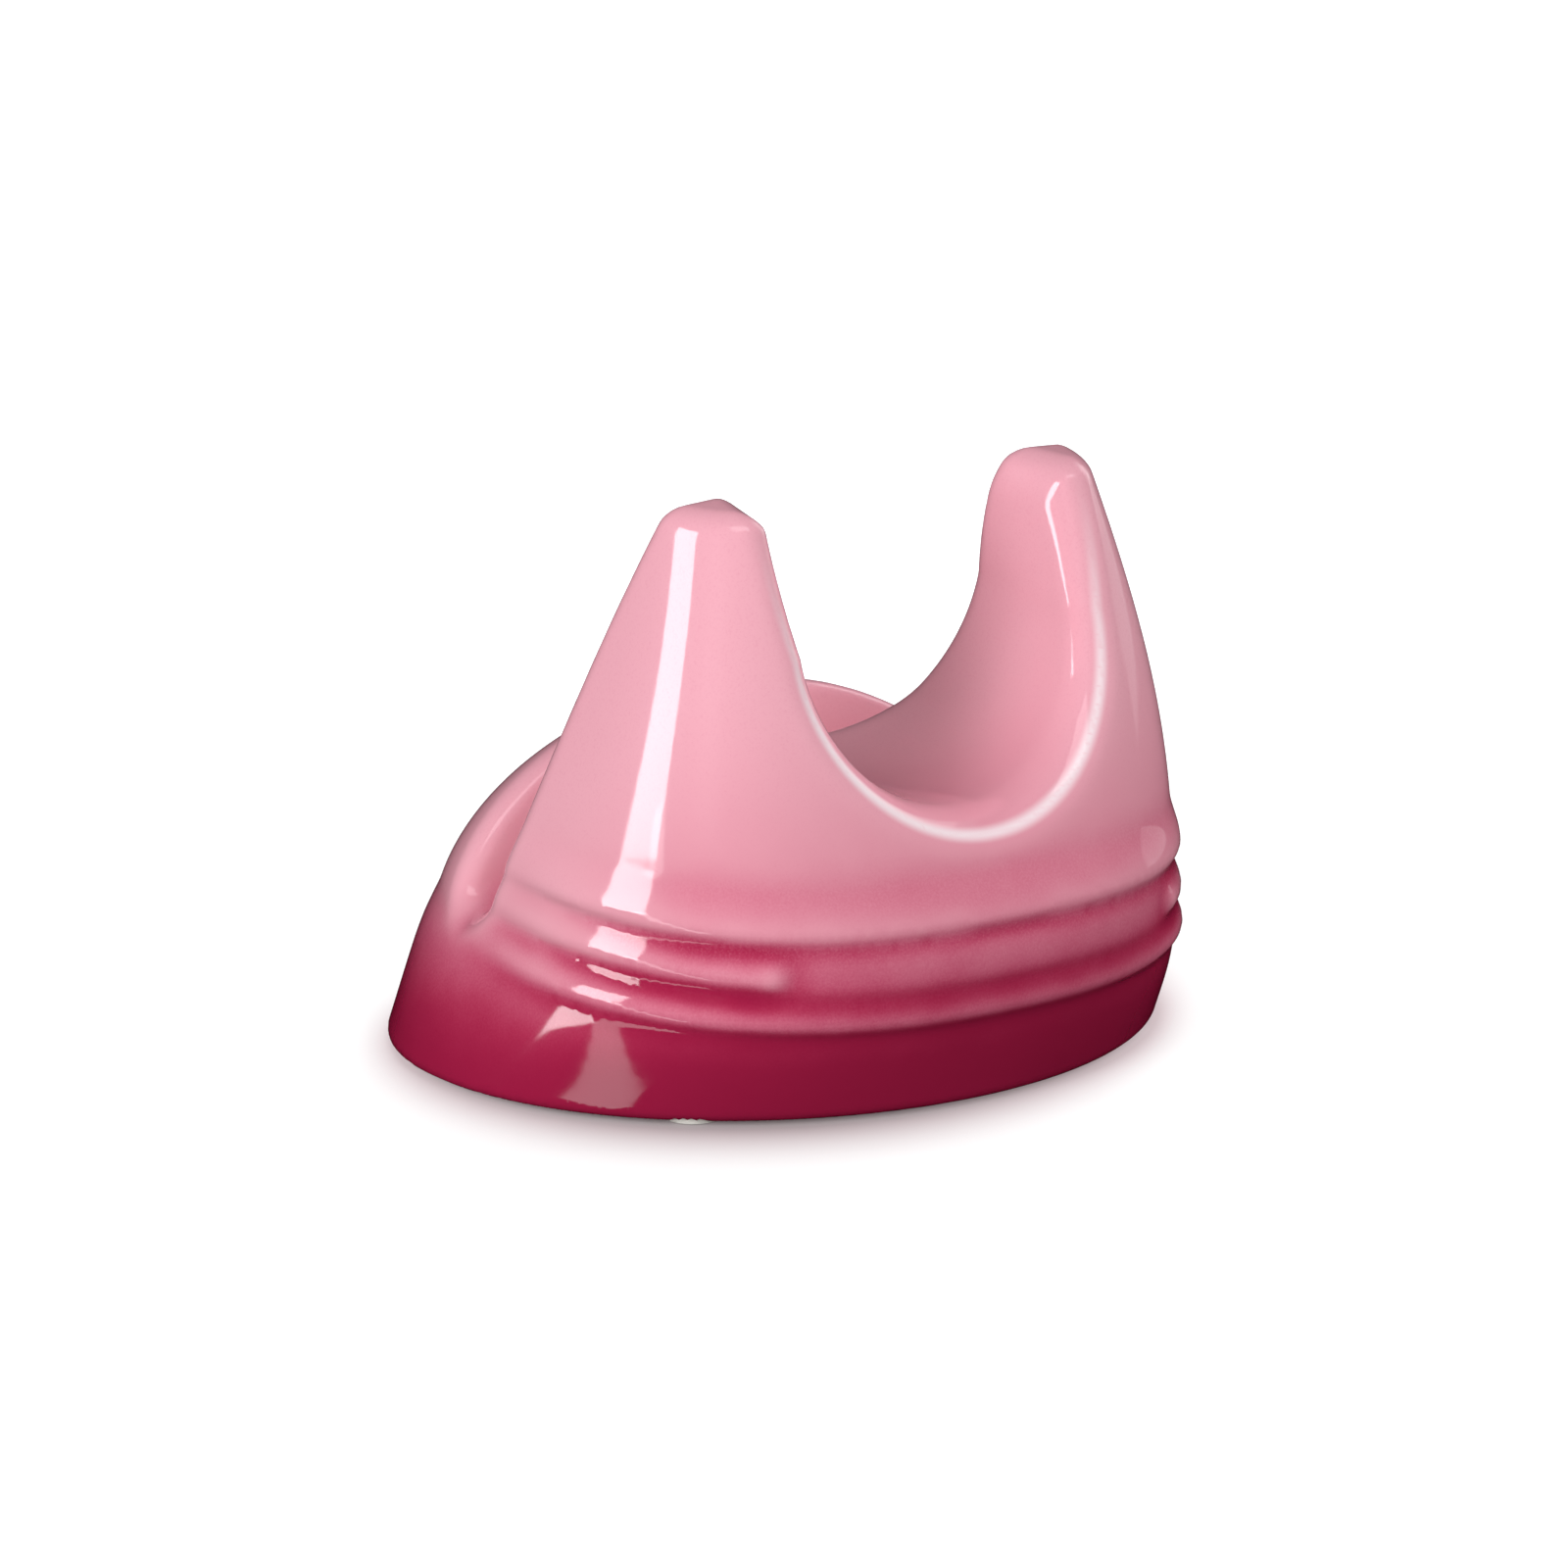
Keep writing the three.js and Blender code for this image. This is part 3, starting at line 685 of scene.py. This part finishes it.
    def build_tree(self) -> tuple[Tree, dict[str, str]]:
        """Builds the tree that turns the rule into a smooth mesh.

        Returns:
            The tree, and the identifier of each of its inputs by name.
        """
        tree, entry, names = new_tree("casting", {
            "Low": "NodeSocketVector",
            "High": "NodeSocketVector",
            "Cell": "NodeSocketFloat",
            "Glaze": "NodeSocketMaterial",
        })
        rule = self.field_group()
        position = tree.nodes.new("GeometryNodeInputPosition").outputs[0]
        span = vector_math(tree, "SUBTRACT", entry.outputs["High"], entry.outputs["Low"])
        parts = add_node(tree, "ShaderNodeSeparateXYZ", Vector=span)
        counts = [(Num(tree, s) / Num(tree, entry.outputs["Cell"])).math("CEIL") for s in parts.outputs]
        inside = self.measure(tree, rule, position, "Distance") * (-1.0 / MM)
        cube = add_node(tree, "GeometryNodeVolumeCube", Density=inside, Background=-1.0,
                        Min=entry.outputs["Low"], Max=entry.outputs["High"],
                        Resolution_X=counts[0], Resolution_Y=counts[1], Resolution_Z=counts[2])
        skin = add_node(tree, "GeometryNodeVolumeToMesh", Volume=cube.outputs[0], Threshold=0.0,
                        Adaptivity=0.0)
        skin.resolution_mode = "GRID"
        mesh = skin.outputs[0]
        for _ in range(self.relax):
            mesh = self.settle(tree, mesh, rule)
        mesh = self.store(tree, mesh, "edge", self.proudness(tree))
        mesh = self.store(tree, mesh, "ridge", self.measure(tree, rule, position, "Ridge"))
        smooth = add_node(tree, "GeometryNodeSetShadeSmooth", Geometry=mesh)
        end_tree(tree, smooth.outputs[0], entry.outputs["Glaze"])
        return tree, names

    def proudness(self, tree: Tree) -> Num:
        """Adds nodes that tell how far each point stands out over its surroundings.

        Args:
            tree: Tree that gets the nodes.

        Returns:
            Height over the evened surface, negative in a hollow.
        """
        position = tree.nodes.new("GeometryNodeInputPosition").outputs[0]
        normal = tree.nodes.new("GeometryNodeInputNormal").outputs[0]
        even = blurred(tree, position, "FLOAT_VECTOR", self.blur_rounds)
        proud = vector_math(tree, "SUBTRACT", position, even)
        lift = vector_math(tree, "DOT_PRODUCT", proud, normal)
        return Num(tree, blurred(tree, lift, "FLOAT", self.even_rounds))

    @staticmethod
    def store(tree: Tree, mesh: Socket, name: str, length: Num) -> Socket:
        """Stores a length at each point, in millimetres.

        Args:
            tree: Tree that gets the node.
            mesh: Mesh so far.
            name: Name of the attribute.
            length: Length to store.

        Returns:
            The mesh with the attribute.
        """
        node = tree.nodes.new("GeometryNodeStoreNamedAttribute")
        node.data_type = "FLOAT"
        node.domain = "POINT"
        put(tree, node.inputs["Geometry"], mesh)
        put(tree, node.inputs["Name"], name)
        put(tree, node.inputs["Value"], length * (1.0 / MM))
        return node.outputs[0]

    def build(self, glaze: bpy.types.Material) -> bpy.types.Object:
        """Makes the casting and puts it in the CAD casting's place.

        Args:
            glaze: Finish of the whole casting.

        Returns:
            The casting.
        """
        tree, names = self.build_tree()
        low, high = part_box(CASTING_NODE)
        edge = Vector((self.margin,) * 3)
        sizes = {"Low": low - edge, "High": high + edge, "Cell": self.cell, "Glaze": glaze}
        casting = from_tree("glazed_casting", tree, {names[k]: v for k, v in sizes.items()})
        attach(casting, BODY)
        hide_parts(CASTING_NODE)
        return casting


@dataclass
class FootPads:
    """Four soft pads, glued into pockets of the foot's rim."""

    corner: float = 3.0
    sides: int = 48
    rows: int = 21
    weld: float = 0.001 * MM

    def build_tree(self) -> tuple[Tree, dict[str, str]]:
        """Builds the tree that revolves one pad and sets it at four places.

        Returns:
            The tree, and the identifier of each of its inputs by name.
        """
        tree, entry, names = new_tree("foot_pads", {
            "Radius": "NodeSocketFloat",
            "Thickness": "NodeSocketFloat",
            "Middle": "NodeSocketVector",
            "Spread": "NodeSocketVector",
            "Rubber": "NodeSocketMaterial",
        })
        radius, thickness = (Num(tree, entry.outputs[name]) for name in ("Radius", "Thickness"))
        pad = self.pad_mesh(tree, radius, thickness)
        index = Num(tree, tree.nodes.new("GeometryNodeInputIndex").outputs[0])
        across = 1.0 - index.math("MODULO", 2.0) * 2.0
        along = 1.0 - (index * 0.5).math("FLOOR") * 2.0
        signs = add_node(tree, "ShaderNodeCombineXYZ", X=across, Y=along, Z=0.0).outputs[0]
        spread = vector_math(tree, "MULTIPLY", entry.outputs["Spread"], signs)
        place = vector_math(tree, "ADD", entry.outputs["Middle"], spread)
        points = add_node(tree, "GeometryNodePoints", Count=len(PAD_NODES), Position=place)
        copies = add_node(tree, "GeometryNodeInstanceOnPoints", Points=points.outputs[0], Instance=pad)
        end_tree(tree, copies.outputs[0], entry.outputs["Rubber"])
        return tree, names

    def pad_mesh(self, tree: Tree, radius: Num, thickness: Num) -> Socket:
        """Revolves one pad with soft corners, standing on height zero.

        Args:
            tree: Tree that gets the nodes.
            radius: Radius of the pad.
            thickness: Its thickness.

        Returns:
            The pad's mesh.
        """
        grid = add_node(tree, "GeometryNodeMeshGrid", Size_X=1.0, Size_Y=1.0,
                        Vertices_X=self.sides + 1, Vertices_Y=self.rows)
        parts = add_node(tree, "ShaderNodeSeparateXYZ", Vector=grid.outputs["UV Map"])
        turn = Num(tree, parts.outputs["X"]) * (2.0 * math.pi)
        swing = (Num(tree, parts.outputs["Y"]) - 0.5) * math.pi
        power = 1.0 / self.corner
        reach = radius * (abs(swing.math("COSINE")) ** power)
        rise = swing.math("SINE")
        lift = rise.math("SIGN") * (abs(rise) ** power)
        height = thickness * (lift * 0.5 + 0.5)
        place = add_node(tree, "ShaderNodeCombineXYZ", X=reach * turn.math("COSINE"),
                         Y=reach * turn.math("SINE"), Z=height)
        shaped = add_node(tree, "GeometryNodeSetPosition", Geometry=grid.outputs["Mesh"],
                          Position=place.outputs[0])
        closed = add_node(tree, "GeometryNodeMergeByDistance", Geometry=shaped.outputs[0],
                          Distance=self.weld)
        return add_node(tree, "GeometryNodeSetShadeSmooth", Geometry=closed.outputs[0]).outputs[0]

    def build(self, rubber: bpy.types.Material) -> bpy.types.Object:
        """Makes the four pads in the places of the CAD pads.

        Args:
            rubber: Finish of the pads.

        Returns:
            The pads, as one piece.
        """
        tree, names = self.build_tree()
        boxes = [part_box(node) for node in PAD_NODES]
        low = Vector([min(b[0][i] for b in boxes) for i in range(3)])
        high = Vector([max(b[1][i] for b in boxes) for i in range(3)])
        size = boxes[0][1] - boxes[0][0]
        middle = (low + high) / 2
        middle.z = low.z
        spread = (high - low - size) / 2
        spread.z = 0.0
        sizes = {
            "Radius": size.x / 2,
            "Thickness": size.z,
            "Middle": middle,
            "Spread": spread,
            "Rubber": rubber,
        }
        pads = from_tree("foot_pads", tree, {names[k]: v for k, v in sizes.items()})
        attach(pads, BODY)
        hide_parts(*PAD_NODES)
        return pads


def vector_math(tree: Tree, operation: str, *terms: object, scale: object = None) -> Socket:
    """Adds a Vector Math node.

    Args:
        tree: Tree that gets the node.
        operation: Blender's name of the operation.
        terms: Vectors that go in.
        scale: Factor of a SCALE operation.

    Returns:
        The output: a number for DOT_PRODUCT, and otherwise a vector.
    """
    node = tree.nodes.new("ShaderNodeVectorMath")
    node.operation = operation
    for slot, term in zip(node.inputs, terms):
        put(tree, slot, term)
    if scale is not None:
        put(tree, node.inputs["Scale"], scale)
    return node.outputs["Value" if operation == "DOT_PRODUCT" else "Vector"]


def blurred(tree: Tree, value: object, kind: str, rounds: int) -> Socket:
    """Evens out a value over neighbouring points.

    Args:
        tree: Tree that gets the node.
        value: Value at each point.
        kind: Blender's name of its type.
        rounds: How often it is evened out.

    Returns:
        The even value.
    """
    node = tree.nodes.new("GeometryNodeBlurAttribute")
    node.data_type = kind
    put(tree, node.inputs["Value"], value)
    node.inputs["Iterations"].default_value = rounds
    return node.outputs["Value"]


def from_tree(name: str, tree: Tree, values: dict[str, object]) -> bpy.types.Object:
    """Runs a Geometry Nodes tree once and keeps its result as a plain mesh.

    Args:
        name: Name of the piece.
        tree: Tree that makes it.
        values: Value of each input, by its socket's identifier.

    Returns:
        The piece, with no modifier left on it.
    """
    piece = bpy.data.objects.new(name, bpy.data.meshes.new(name))
    bpy.context.scene.collection.objects.link(piece)
    modifier = piece.modifiers.new("rule", "NODES")
    modifier.node_group = tree
    for identifier, value in values.items():
        modifier[identifier] = value
    depsgraph = bpy.context.evaluated_depsgraph_get()
    mesh = bpy.data.meshes.new_from_object(piece.evaluated_get(depsgraph), depsgraph=depsgraph)
    piece.modifiers.remove(modifier)
    piece.data = mesh
    mesh.name = name
    return piece


@dataclass(frozen=True)
class Glaze:
    """Glossy glaze that fades from pale pink at the tips to deep berry at the foot.

    The pale line along the notch's front edge is thin glaze with a painted highlight; its pair is in
    millimetres, as the attribute that it reads is.
    """

    wash: tuple = (
        (12.0 * MM, (0.320, 0.010, 0.050, 1.0)),
        (20.0 * MM, (0.390, 0.018, 0.068, 1.0)),
        (26.0 * MM, (0.470, 0.043, 0.105, 1.0)),
        (31.5 * MM, (0.570, 0.100, 0.180, 1.0)),
        (37.0 * MM, (0.650, 0.165, 0.250, 1.0)),
        (42.5 * MM, (0.710, 0.230, 0.315, 1.0)),
        (50.5 * MM, (0.780, 0.320, 0.400, 1.0)),
        (65.0 * MM, (0.835, 0.380, 0.460, 1.0)),
        (80.0 * MM, (0.860, 0.415, 0.495, 1.0)),
    )
    # Near-white colour of the notch's front edge: thin glaze there, plus a painted highlight.
    thin_and_highlight: tuple = (0.98, 0.84, 0.88, 1.0)
    thin_and_highlight_reach: tuple = (0.0, 1.9)
    thin_and_highlight_fade: tuple = (64.0 * MM, 104.0 * MM)
    thin_and_highlight_share: float = 0.9
    fleck: tuple = (0.72, 0.24, 0.33, 1.0)
    fleck_rise: tuple = (24.0 * MM, 42.0 * MM)
    fleck_share: float = 0.8
    clay: tuple = (0.72, 0.64, 0.55, 1.0)
    bare_facing: tuple = (0.95, 0.99)
    bare_rise: tuple = (4.0 * MM, 5.0 * MM)
    back_rise: float = 8.0 * MM
    back_fade: float = 18.0 * MM
    back_zone: tuple = (-45.0 * MM, -10.0 * MM)
    fade_zone: tuple = (20.0 * MM, 36.0 * MM)
    pooling: float = 42.0 * MM
    pool_rise: tuple = (8.0 * MM, 18.0 * MM)
    mottle_size: float = 9.0 * MM
    mottle_detail: float = 3.0
    mottle_reach: float = 5.0 * MM
    grain_size: float = 0.4 * MM
    grain_detail: float = 2.0
    grain_reach: float = 6.0 * MM
    wave_size: float = 6.0 * MM
    wave_detail: float = 2.0
    wave_strength: float = 0.04
    wave_depth: float = 0.3 * MM
    gloss: tuple = (0.05, 0.10)
    bare_gloss: float = 0.8

    def build(self) -> bpy.types.Material:
        """Makes the material.

        Returns:
            The glaze.
        """
        material, tree, shader = new_material("fading_glaze")
        coordinates = tree.nodes.new("ShaderNodeTexCoord").outputs["Object"]
        parts = add_node(tree, "ShaderNodeSeparateXYZ", Vector=coordinates)
        y, z = Num(tree, parts.outputs["Y"]), Num(tree, parts.outputs["Z"])
        edge = attribute(tree, "edge")
        mottle = noise(tree, coordinates, self.mottle_size, self.mottle_detail)
        grain = noise(tree, coordinates, self.grain_size, self.grain_detail)
        level = z + y.step(*self.back_zone) * (z.step(*self.fade_zone) * self.back_fade + self.back_rise)
        level = level + edge * self.pooling * z.step(*self.pool_rise)
        level = level + mottle * self.mottle_reach + grain * self.grain_reach
        low, high = self.wash[0][0], self.wash[-1][0]
        ramp = tree.nodes.new("ShaderNodeValToRGB")
        ramp.color_ramp.interpolation = "B_SPLINE"
        for i, (height, colour) in enumerate(self.wash):
            place = (height - low) / (high - low)
            stops = ramp.color_ramp.elements
            stop = stops[0] if i == 0 else stops[-1] if i == len(self.wash) - 1 else stops.new(place)
            stop.position = place
            stop.color = colour
        put(tree, ramp.inputs[0], level.share(low, high))
        flecked = (grain * self.fleck_share).max(0.0) * z.step(*self.fleck_rise)
        colour = blend_colour(tree, ramp.outputs["Color"], self.fleck, flecked)
        # Pale line along the notch's front edge: thin glaze, with a painted highlight in its near-white
        # colour.
        line = (1.0 - attribute(tree, "ridge").step(*self.thin_and_highlight_reach)) * (1.0 - z.step(*self.thin_and_highlight_fade))
        colour = blend_colour(tree, colour, self.thin_and_highlight, line * self.thin_and_highlight_share)
        under = add_node(tree, "ShaderNodeSeparateXYZ",
                         Vector=tree.nodes.new("ShaderNodeNewGeometry").outputs["Normal"])
        bare = (-Num(tree, under.outputs["Z"])).step(*self.bare_facing) * (1.0 - z.step(*self.bare_rise))
        colour = blend_colour(tree, colour, self.clay, bare)
        put(tree, shader.inputs["Base Color"], colour)
        ripple = noise(tree, coordinates, self.wave_size, self.wave_detail)
        gloss = mix(*self.gloss, ripple + 0.5)
        put(tree, shader.inputs["Roughness"], mix(gloss, self.bare_gloss, bare))
        bump = add_node(tree, "ShaderNodeBump", Strength=self.wave_strength, Distance=self.wave_depth,
                        Height=ripple)
        put(tree, shader.inputs["Normal"], bump.outputs[0])
        return material


@dataclass(frozen=True)
class Rubber:
    """Soft matt rubber of the pads, with a fine moulded grain."""

    light: tuple = (0.80, 0.78, 0.73, 1.0)
    dark: tuple = (0.68, 0.66, 0.61, 1.0)
    roughness: float = 0.75
    grain_size: float = 0.5 * MM
    grain_detail: float = 3.0
    grain_strength: float = 0.3
    grain_depth: float = 0.05 * MM

    def build(self) -> bpy.types.Material:
        """Makes the material.

        Returns:
            The rubber.
        """
        material, tree, shader = new_material("soft_rubber")
        shader.inputs["Roughness"].default_value = self.roughness
        coordinates = tree.nodes.new("ShaderNodeTexCoord").outputs["Object"]
        grain = noise(tree, coordinates, self.grain_size, self.grain_detail)
        put(tree, shader.inputs["Base Color"], blend_colour(tree, self.light, self.dark, grain + 0.5))
        bump = add_node(tree, "ShaderNodeBump", Strength=self.grain_strength, Distance=self.grain_depth,
                        Height=grain)
        put(tree, shader.inputs["Normal"], bump.outputs[0])
        return material


def attribute(tree: Tree, name: str) -> Num:
    """Reads a number that the mesh carries at each point.

    Args:
        tree: Tree that gets the node.
        name: Name of the attribute.

    Returns:
        The number.
    """
    node = tree.nodes.new("ShaderNodeAttribute")
    node.attribute_name = name
    return Num(tree, node.outputs["Fac"])


def noise(tree: Tree, place: Socket, size: float, detail: float) -> Num:
    """Noise about zero.

    Args:
        tree: Tree that gets the nodes.
        place: Coordinates that it follows.
        size: Size of its blotches.
        detail: Number of finer layers.

    Returns:
        Noise from about -0.5 to 0.5.
    """
    node = add_node(tree, "ShaderNodeTexNoise", Vector=place, Scale=1.0 / size, Detail=detail)
    return Num(tree, node.outputs["Fac"]) - 0.5


def blend_colour(tree: Tree, a: object, b: object, share: Num) -> Socket:
    """Mixes two colours.

    Args:
        tree: Tree that gets the node.
        a: Colour at a share of 0.
        b: Colour at a share of 1.
        share: How much of the second colour shows.

    Returns:
        The mixed colour.
    """
    node = tree.nodes.new("ShaderNodeMix")
    node.data_type = "RGBA"
    factor, first, second = (next(s for s in node.inputs if s.identifier == name)
                             for name in ("Factor_Float", "A_Color", "B_Color"))
    put(tree, factor, share)
    put(tree, first, a)
    put(tree, second, b)
    return next(s for s in node.outputs if s.identifier == "Result_Color")


@dataclass(frozen=True)
class Lamp:
    """A soft rectangular studio light that faces the holder, with its angles in degrees."""

    name: str
    azimuth: float
    elevation: float
    distance: float
    width: float
    height: float
    radiance: float
    roll: float = 0.0
    lights: bool = True
    mirrored: bool = True

    def build(self, aim: Vector) -> None:
        """Hangs the light.

        Args:
            aim: Point that it faces.
        """
        way = towards(math.radians(self.azimuth), math.radians(self.elevation))
        data = bpy.data.lights.new(self.name, "AREA")
        data.shape = "RECTANGLE"
        data.size = self.width
        data.size_y = self.height
        data.energy = self.radiance * math.pi * self.width * self.height
        lamp = bpy.data.objects.new(self.name, data)
        lamp.location = aim + way * self.distance
        roll = Quaternion((0.0, 0.0, 1.0), math.radians(self.roll))
        lamp.rotation_euler = ((-way).to_track_quat("-Z", "Y") @ roll).to_euler()
        lamp.visible_diffuse = self.lights
        lamp.visible_glossy = self.mirrored
        bpy.context.scene.collection.objects.link(lamp)


@dataclass
class Studio:
    """Pale floor, soft lights and the camera at the photograph's angle.

    A pair of the floor's glow or of its painted shadow's reach is its value beside the holder, and
    before and behind it.
    """

    azimuth: float = math.radians(-35.781)
    elevation: float = math.radians(15.080)
    distance: float = 1588.0 * MM
    focal_pixels: float = 9146.9
    view_reach: float = 20.0
    aim_right: float = 2.493 * MM
    aim_up: float = 40.632 * MM
    aim_height: float = 50.0 * MM
    lamps: tuple = (
        Lamp("left_strip", -105.5, 12.5, 0.97, 0.318, 0.61, 10.0, lights=False),
        Lamp("strip_image", -89.2, -22.0, 1.0, 0.13, 0.95, 2.9, roll=23.0, lights=False),
        Lamp("edge_soft", 95.0, 25.0, 1.2, 0.5, 0.8, 1.2, lights=False),
        Lamp("edge_softer", 95.0, 25.0, 1.25, 0.9, 1.2, 0.6, lights=False),
        Lamp("top_line", -20.0, 62.0, 1.2, 1.0, 0.4, 2.5, lights=False),
        Lamp("left_soft", -68.0, 16.0, 1.3, 0.45, 1.0, 9.6, mirrored=False),
        Lamp("front_soft", -15.0, 15.0, 1.3, 1.0, 1.0, 1.1, mirrored=False),
        Lamp("right_soft", 80.0, 20.0, 1.3, 1.0, 1.0, 3.3, mirrored=False),
        Lamp("top_soft", 0.0, 80.0, 1.3, 0.9, 0.9, 0.9, mirrored=False),
        Lamp("back_soft", 160.0, 25.0, 1.3, 1.0, 1.0, 1.1, mirrored=False),
    )
    ambient: float = 0.24
    floor_size: float = 12.0
    floor_colour: tuple = (0.35, 0.35, 0.35, 1.0)
    # Glow at the foot's edge and past the painted shadow: the floor's glow is dimmed round the holder as
    # painted shade.
    painted_shadow_glow: tuple = (0.48, 0.24)
    glow_far: tuple = (0.80, 0.76)
    clearing: tuple = (20.0 * MM, 90.0 * MM)
    # Pink of the painted bounce light on the floor near the foot.
    painted_bounce_tint: tuple = (1.0, 0.80, 0.84, 1.0)
    painted_shadow_reach: tuple = (8.0 * MM, 28.0 * MM)
    painted_gap_shadow: float = 8.0 * MM

    def build_camera(self, origin: Vector) -> None:
        """Sets the camera that sees the holder as the photograph does.

        Args:
            origin: Middle of the casting's foot.
        """
        back = towards(self.azimuth, self.elevation)
        right = Vector((math.cos(self.azimuth), math.sin(self.azimuth), 0.0))
        up = back.cross(right)
        place = origin + right * self.aim_right + up * self.aim_up + back * self.distance
        data = bpy.data.cameras.new("camera")
        data.sensor_width = SENSOR_WIDTH
        data.lens = self.focal_pixels * SENSOR_WIDTH / IMAGE_SIZE
        data.clip_end = self.view_reach
        camera = bpy.data.objects.new("camera", data)
        camera.matrix_world = Matrix.Translation(place) @ Matrix((right, up, back)).transposed().to_4x4()
        bpy.context.scene.collection.objects.link(camera)
        bpy.context.scene.camera = camera

    def build_floor(self, casting: Casting) -> None:
        """Lays the pale floor under the pads: white, but for the holder's own shadow and a shadow
        painted round its foot.

        Args:
            casting: Casting that stands over it.
        """
        half = self.floor_size / 2
        mesh = bpy.data.meshes.new("floor")
        corners = [(-half, -half, 0.0), (half, -half, 0.0), (half, half, 0.0), (-half, half, 0.0)]
        mesh.from_pydata(corners, [], [tuple(range(len(corners)))])
        material, tree, shader = new_material("pale_floor")
        shader.inputs["Base Color"].default_value = self.floor_colour
        shader.inputs["Roughness"].default_value = 1.0
        shader.inputs["Specular IOR Level"].default_value = 0.0
        path = tree.nodes.new("ShaderNodeLightPath")
        seen = Num(tree, path.outputs["Is Camera Ray"])
        for kind in ("Is Glossy Ray", "Is Transmission Ray"):
            seen = seen.max(Num(tree, path.outputs[kind]))
        coordinates = tree.nodes.new("ShaderNodeTexCoord").outputs["Object"]
        parts = add_node(tree, "ShaderNodeSeparateXYZ", Vector=coordinates)
        x = Num(tree, parts.outputs["X"])
        y = Num(tree, parts.outputs["Y"]) - (casting.origin.y + casting.foot_middle_y)
        away = oval_distance(x, y, casting.profile[0][1] * MM, casting.foot_half_depth, ELLIPSE)
        ahead = (x * math.sin(self.azimuth) - y * math.cos(self.azimuth)) / hypot(x, y).max(MM)
        ahead = ahead * ahead
        # Painted shadow: the glow dims towards the foot, reaching further towards the camera, and fades
        # out under the foot.
        left = 1.0 - (away / mix(*self.painted_shadow_reach, ahead)).max(0.0).min(1.0)
        clear = 1.0 - left * left
        near, far = mix(*self.painted_shadow_glow, ahead), mix(*self.glow_far, ahead)
        glow = mix(near, far, clear) * away.step(-self.painted_gap_shadow, 0.0)
        glow = glow.max(away.step(*self.clearing))
        # Painted bounce light: the glow turns pink towards the foot, where the painted shadow lies.
        put(tree, shader.inputs["Emission Color"], blend_colour(tree, self.painted_bounce_tint, WHITE, clear))
        put(tree, shader.inputs["Emission Strength"], seen * glow)
        mesh.materials.append(material)
        floor = bpy.data.objects.new("floor", mesh)
        floor.visible_glossy = False
        bpy.context.scene.collection.objects.link(floor)

    def build_world(self) -> None:
        """Sets the even light of the room."""
        world = bpy.data.worlds.new("room")
        bpy.context.scene.world = world
        world.use_nodes = True
        background = world.node_tree.nodes["Background"]
        background.inputs["Color"].default_value = WHITE
        background.inputs["Strength"].default_value = self.ambient
        world.cycles_visibility.glossy = False

    def build(self, casting: Casting) -> None:
        """Sets up camera, floor, room and lights.

        Args:
            casting: Casting that they are set round.
        """
        self.build_camera(casting.origin)
        self.build_floor(casting)
        self.build_world()
        for lamp in self.lamps:
            lamp.build(casting.origin + Vector((0.0, 0.0, self.aim_height)))


def report(piece: bpy.types.Object) -> None:
    """Logs a piece with its count of faces and its size in millimetres."""
    size = [round(v / MM, 1) for v in piece.dimensions]
    LOG.info("%s: %d faces, %s mm", piece.name, len(piece.data.polygons), size)


def main() -> None:
    """Builds the pieces in order and reports each one."""
    logging.basicConfig(level=logging.INFO, format="%(name)s: %(message)s")
    bpy.context.scene.view_settings.view_transform = "Standard"
    casting = Casting()
    Studio().build(casting)
    for piece in (casting.build(Glaze().build()), FootPads().build(Rubber().build())):
        report(piece)


if __name__ == "__main__":
    main()
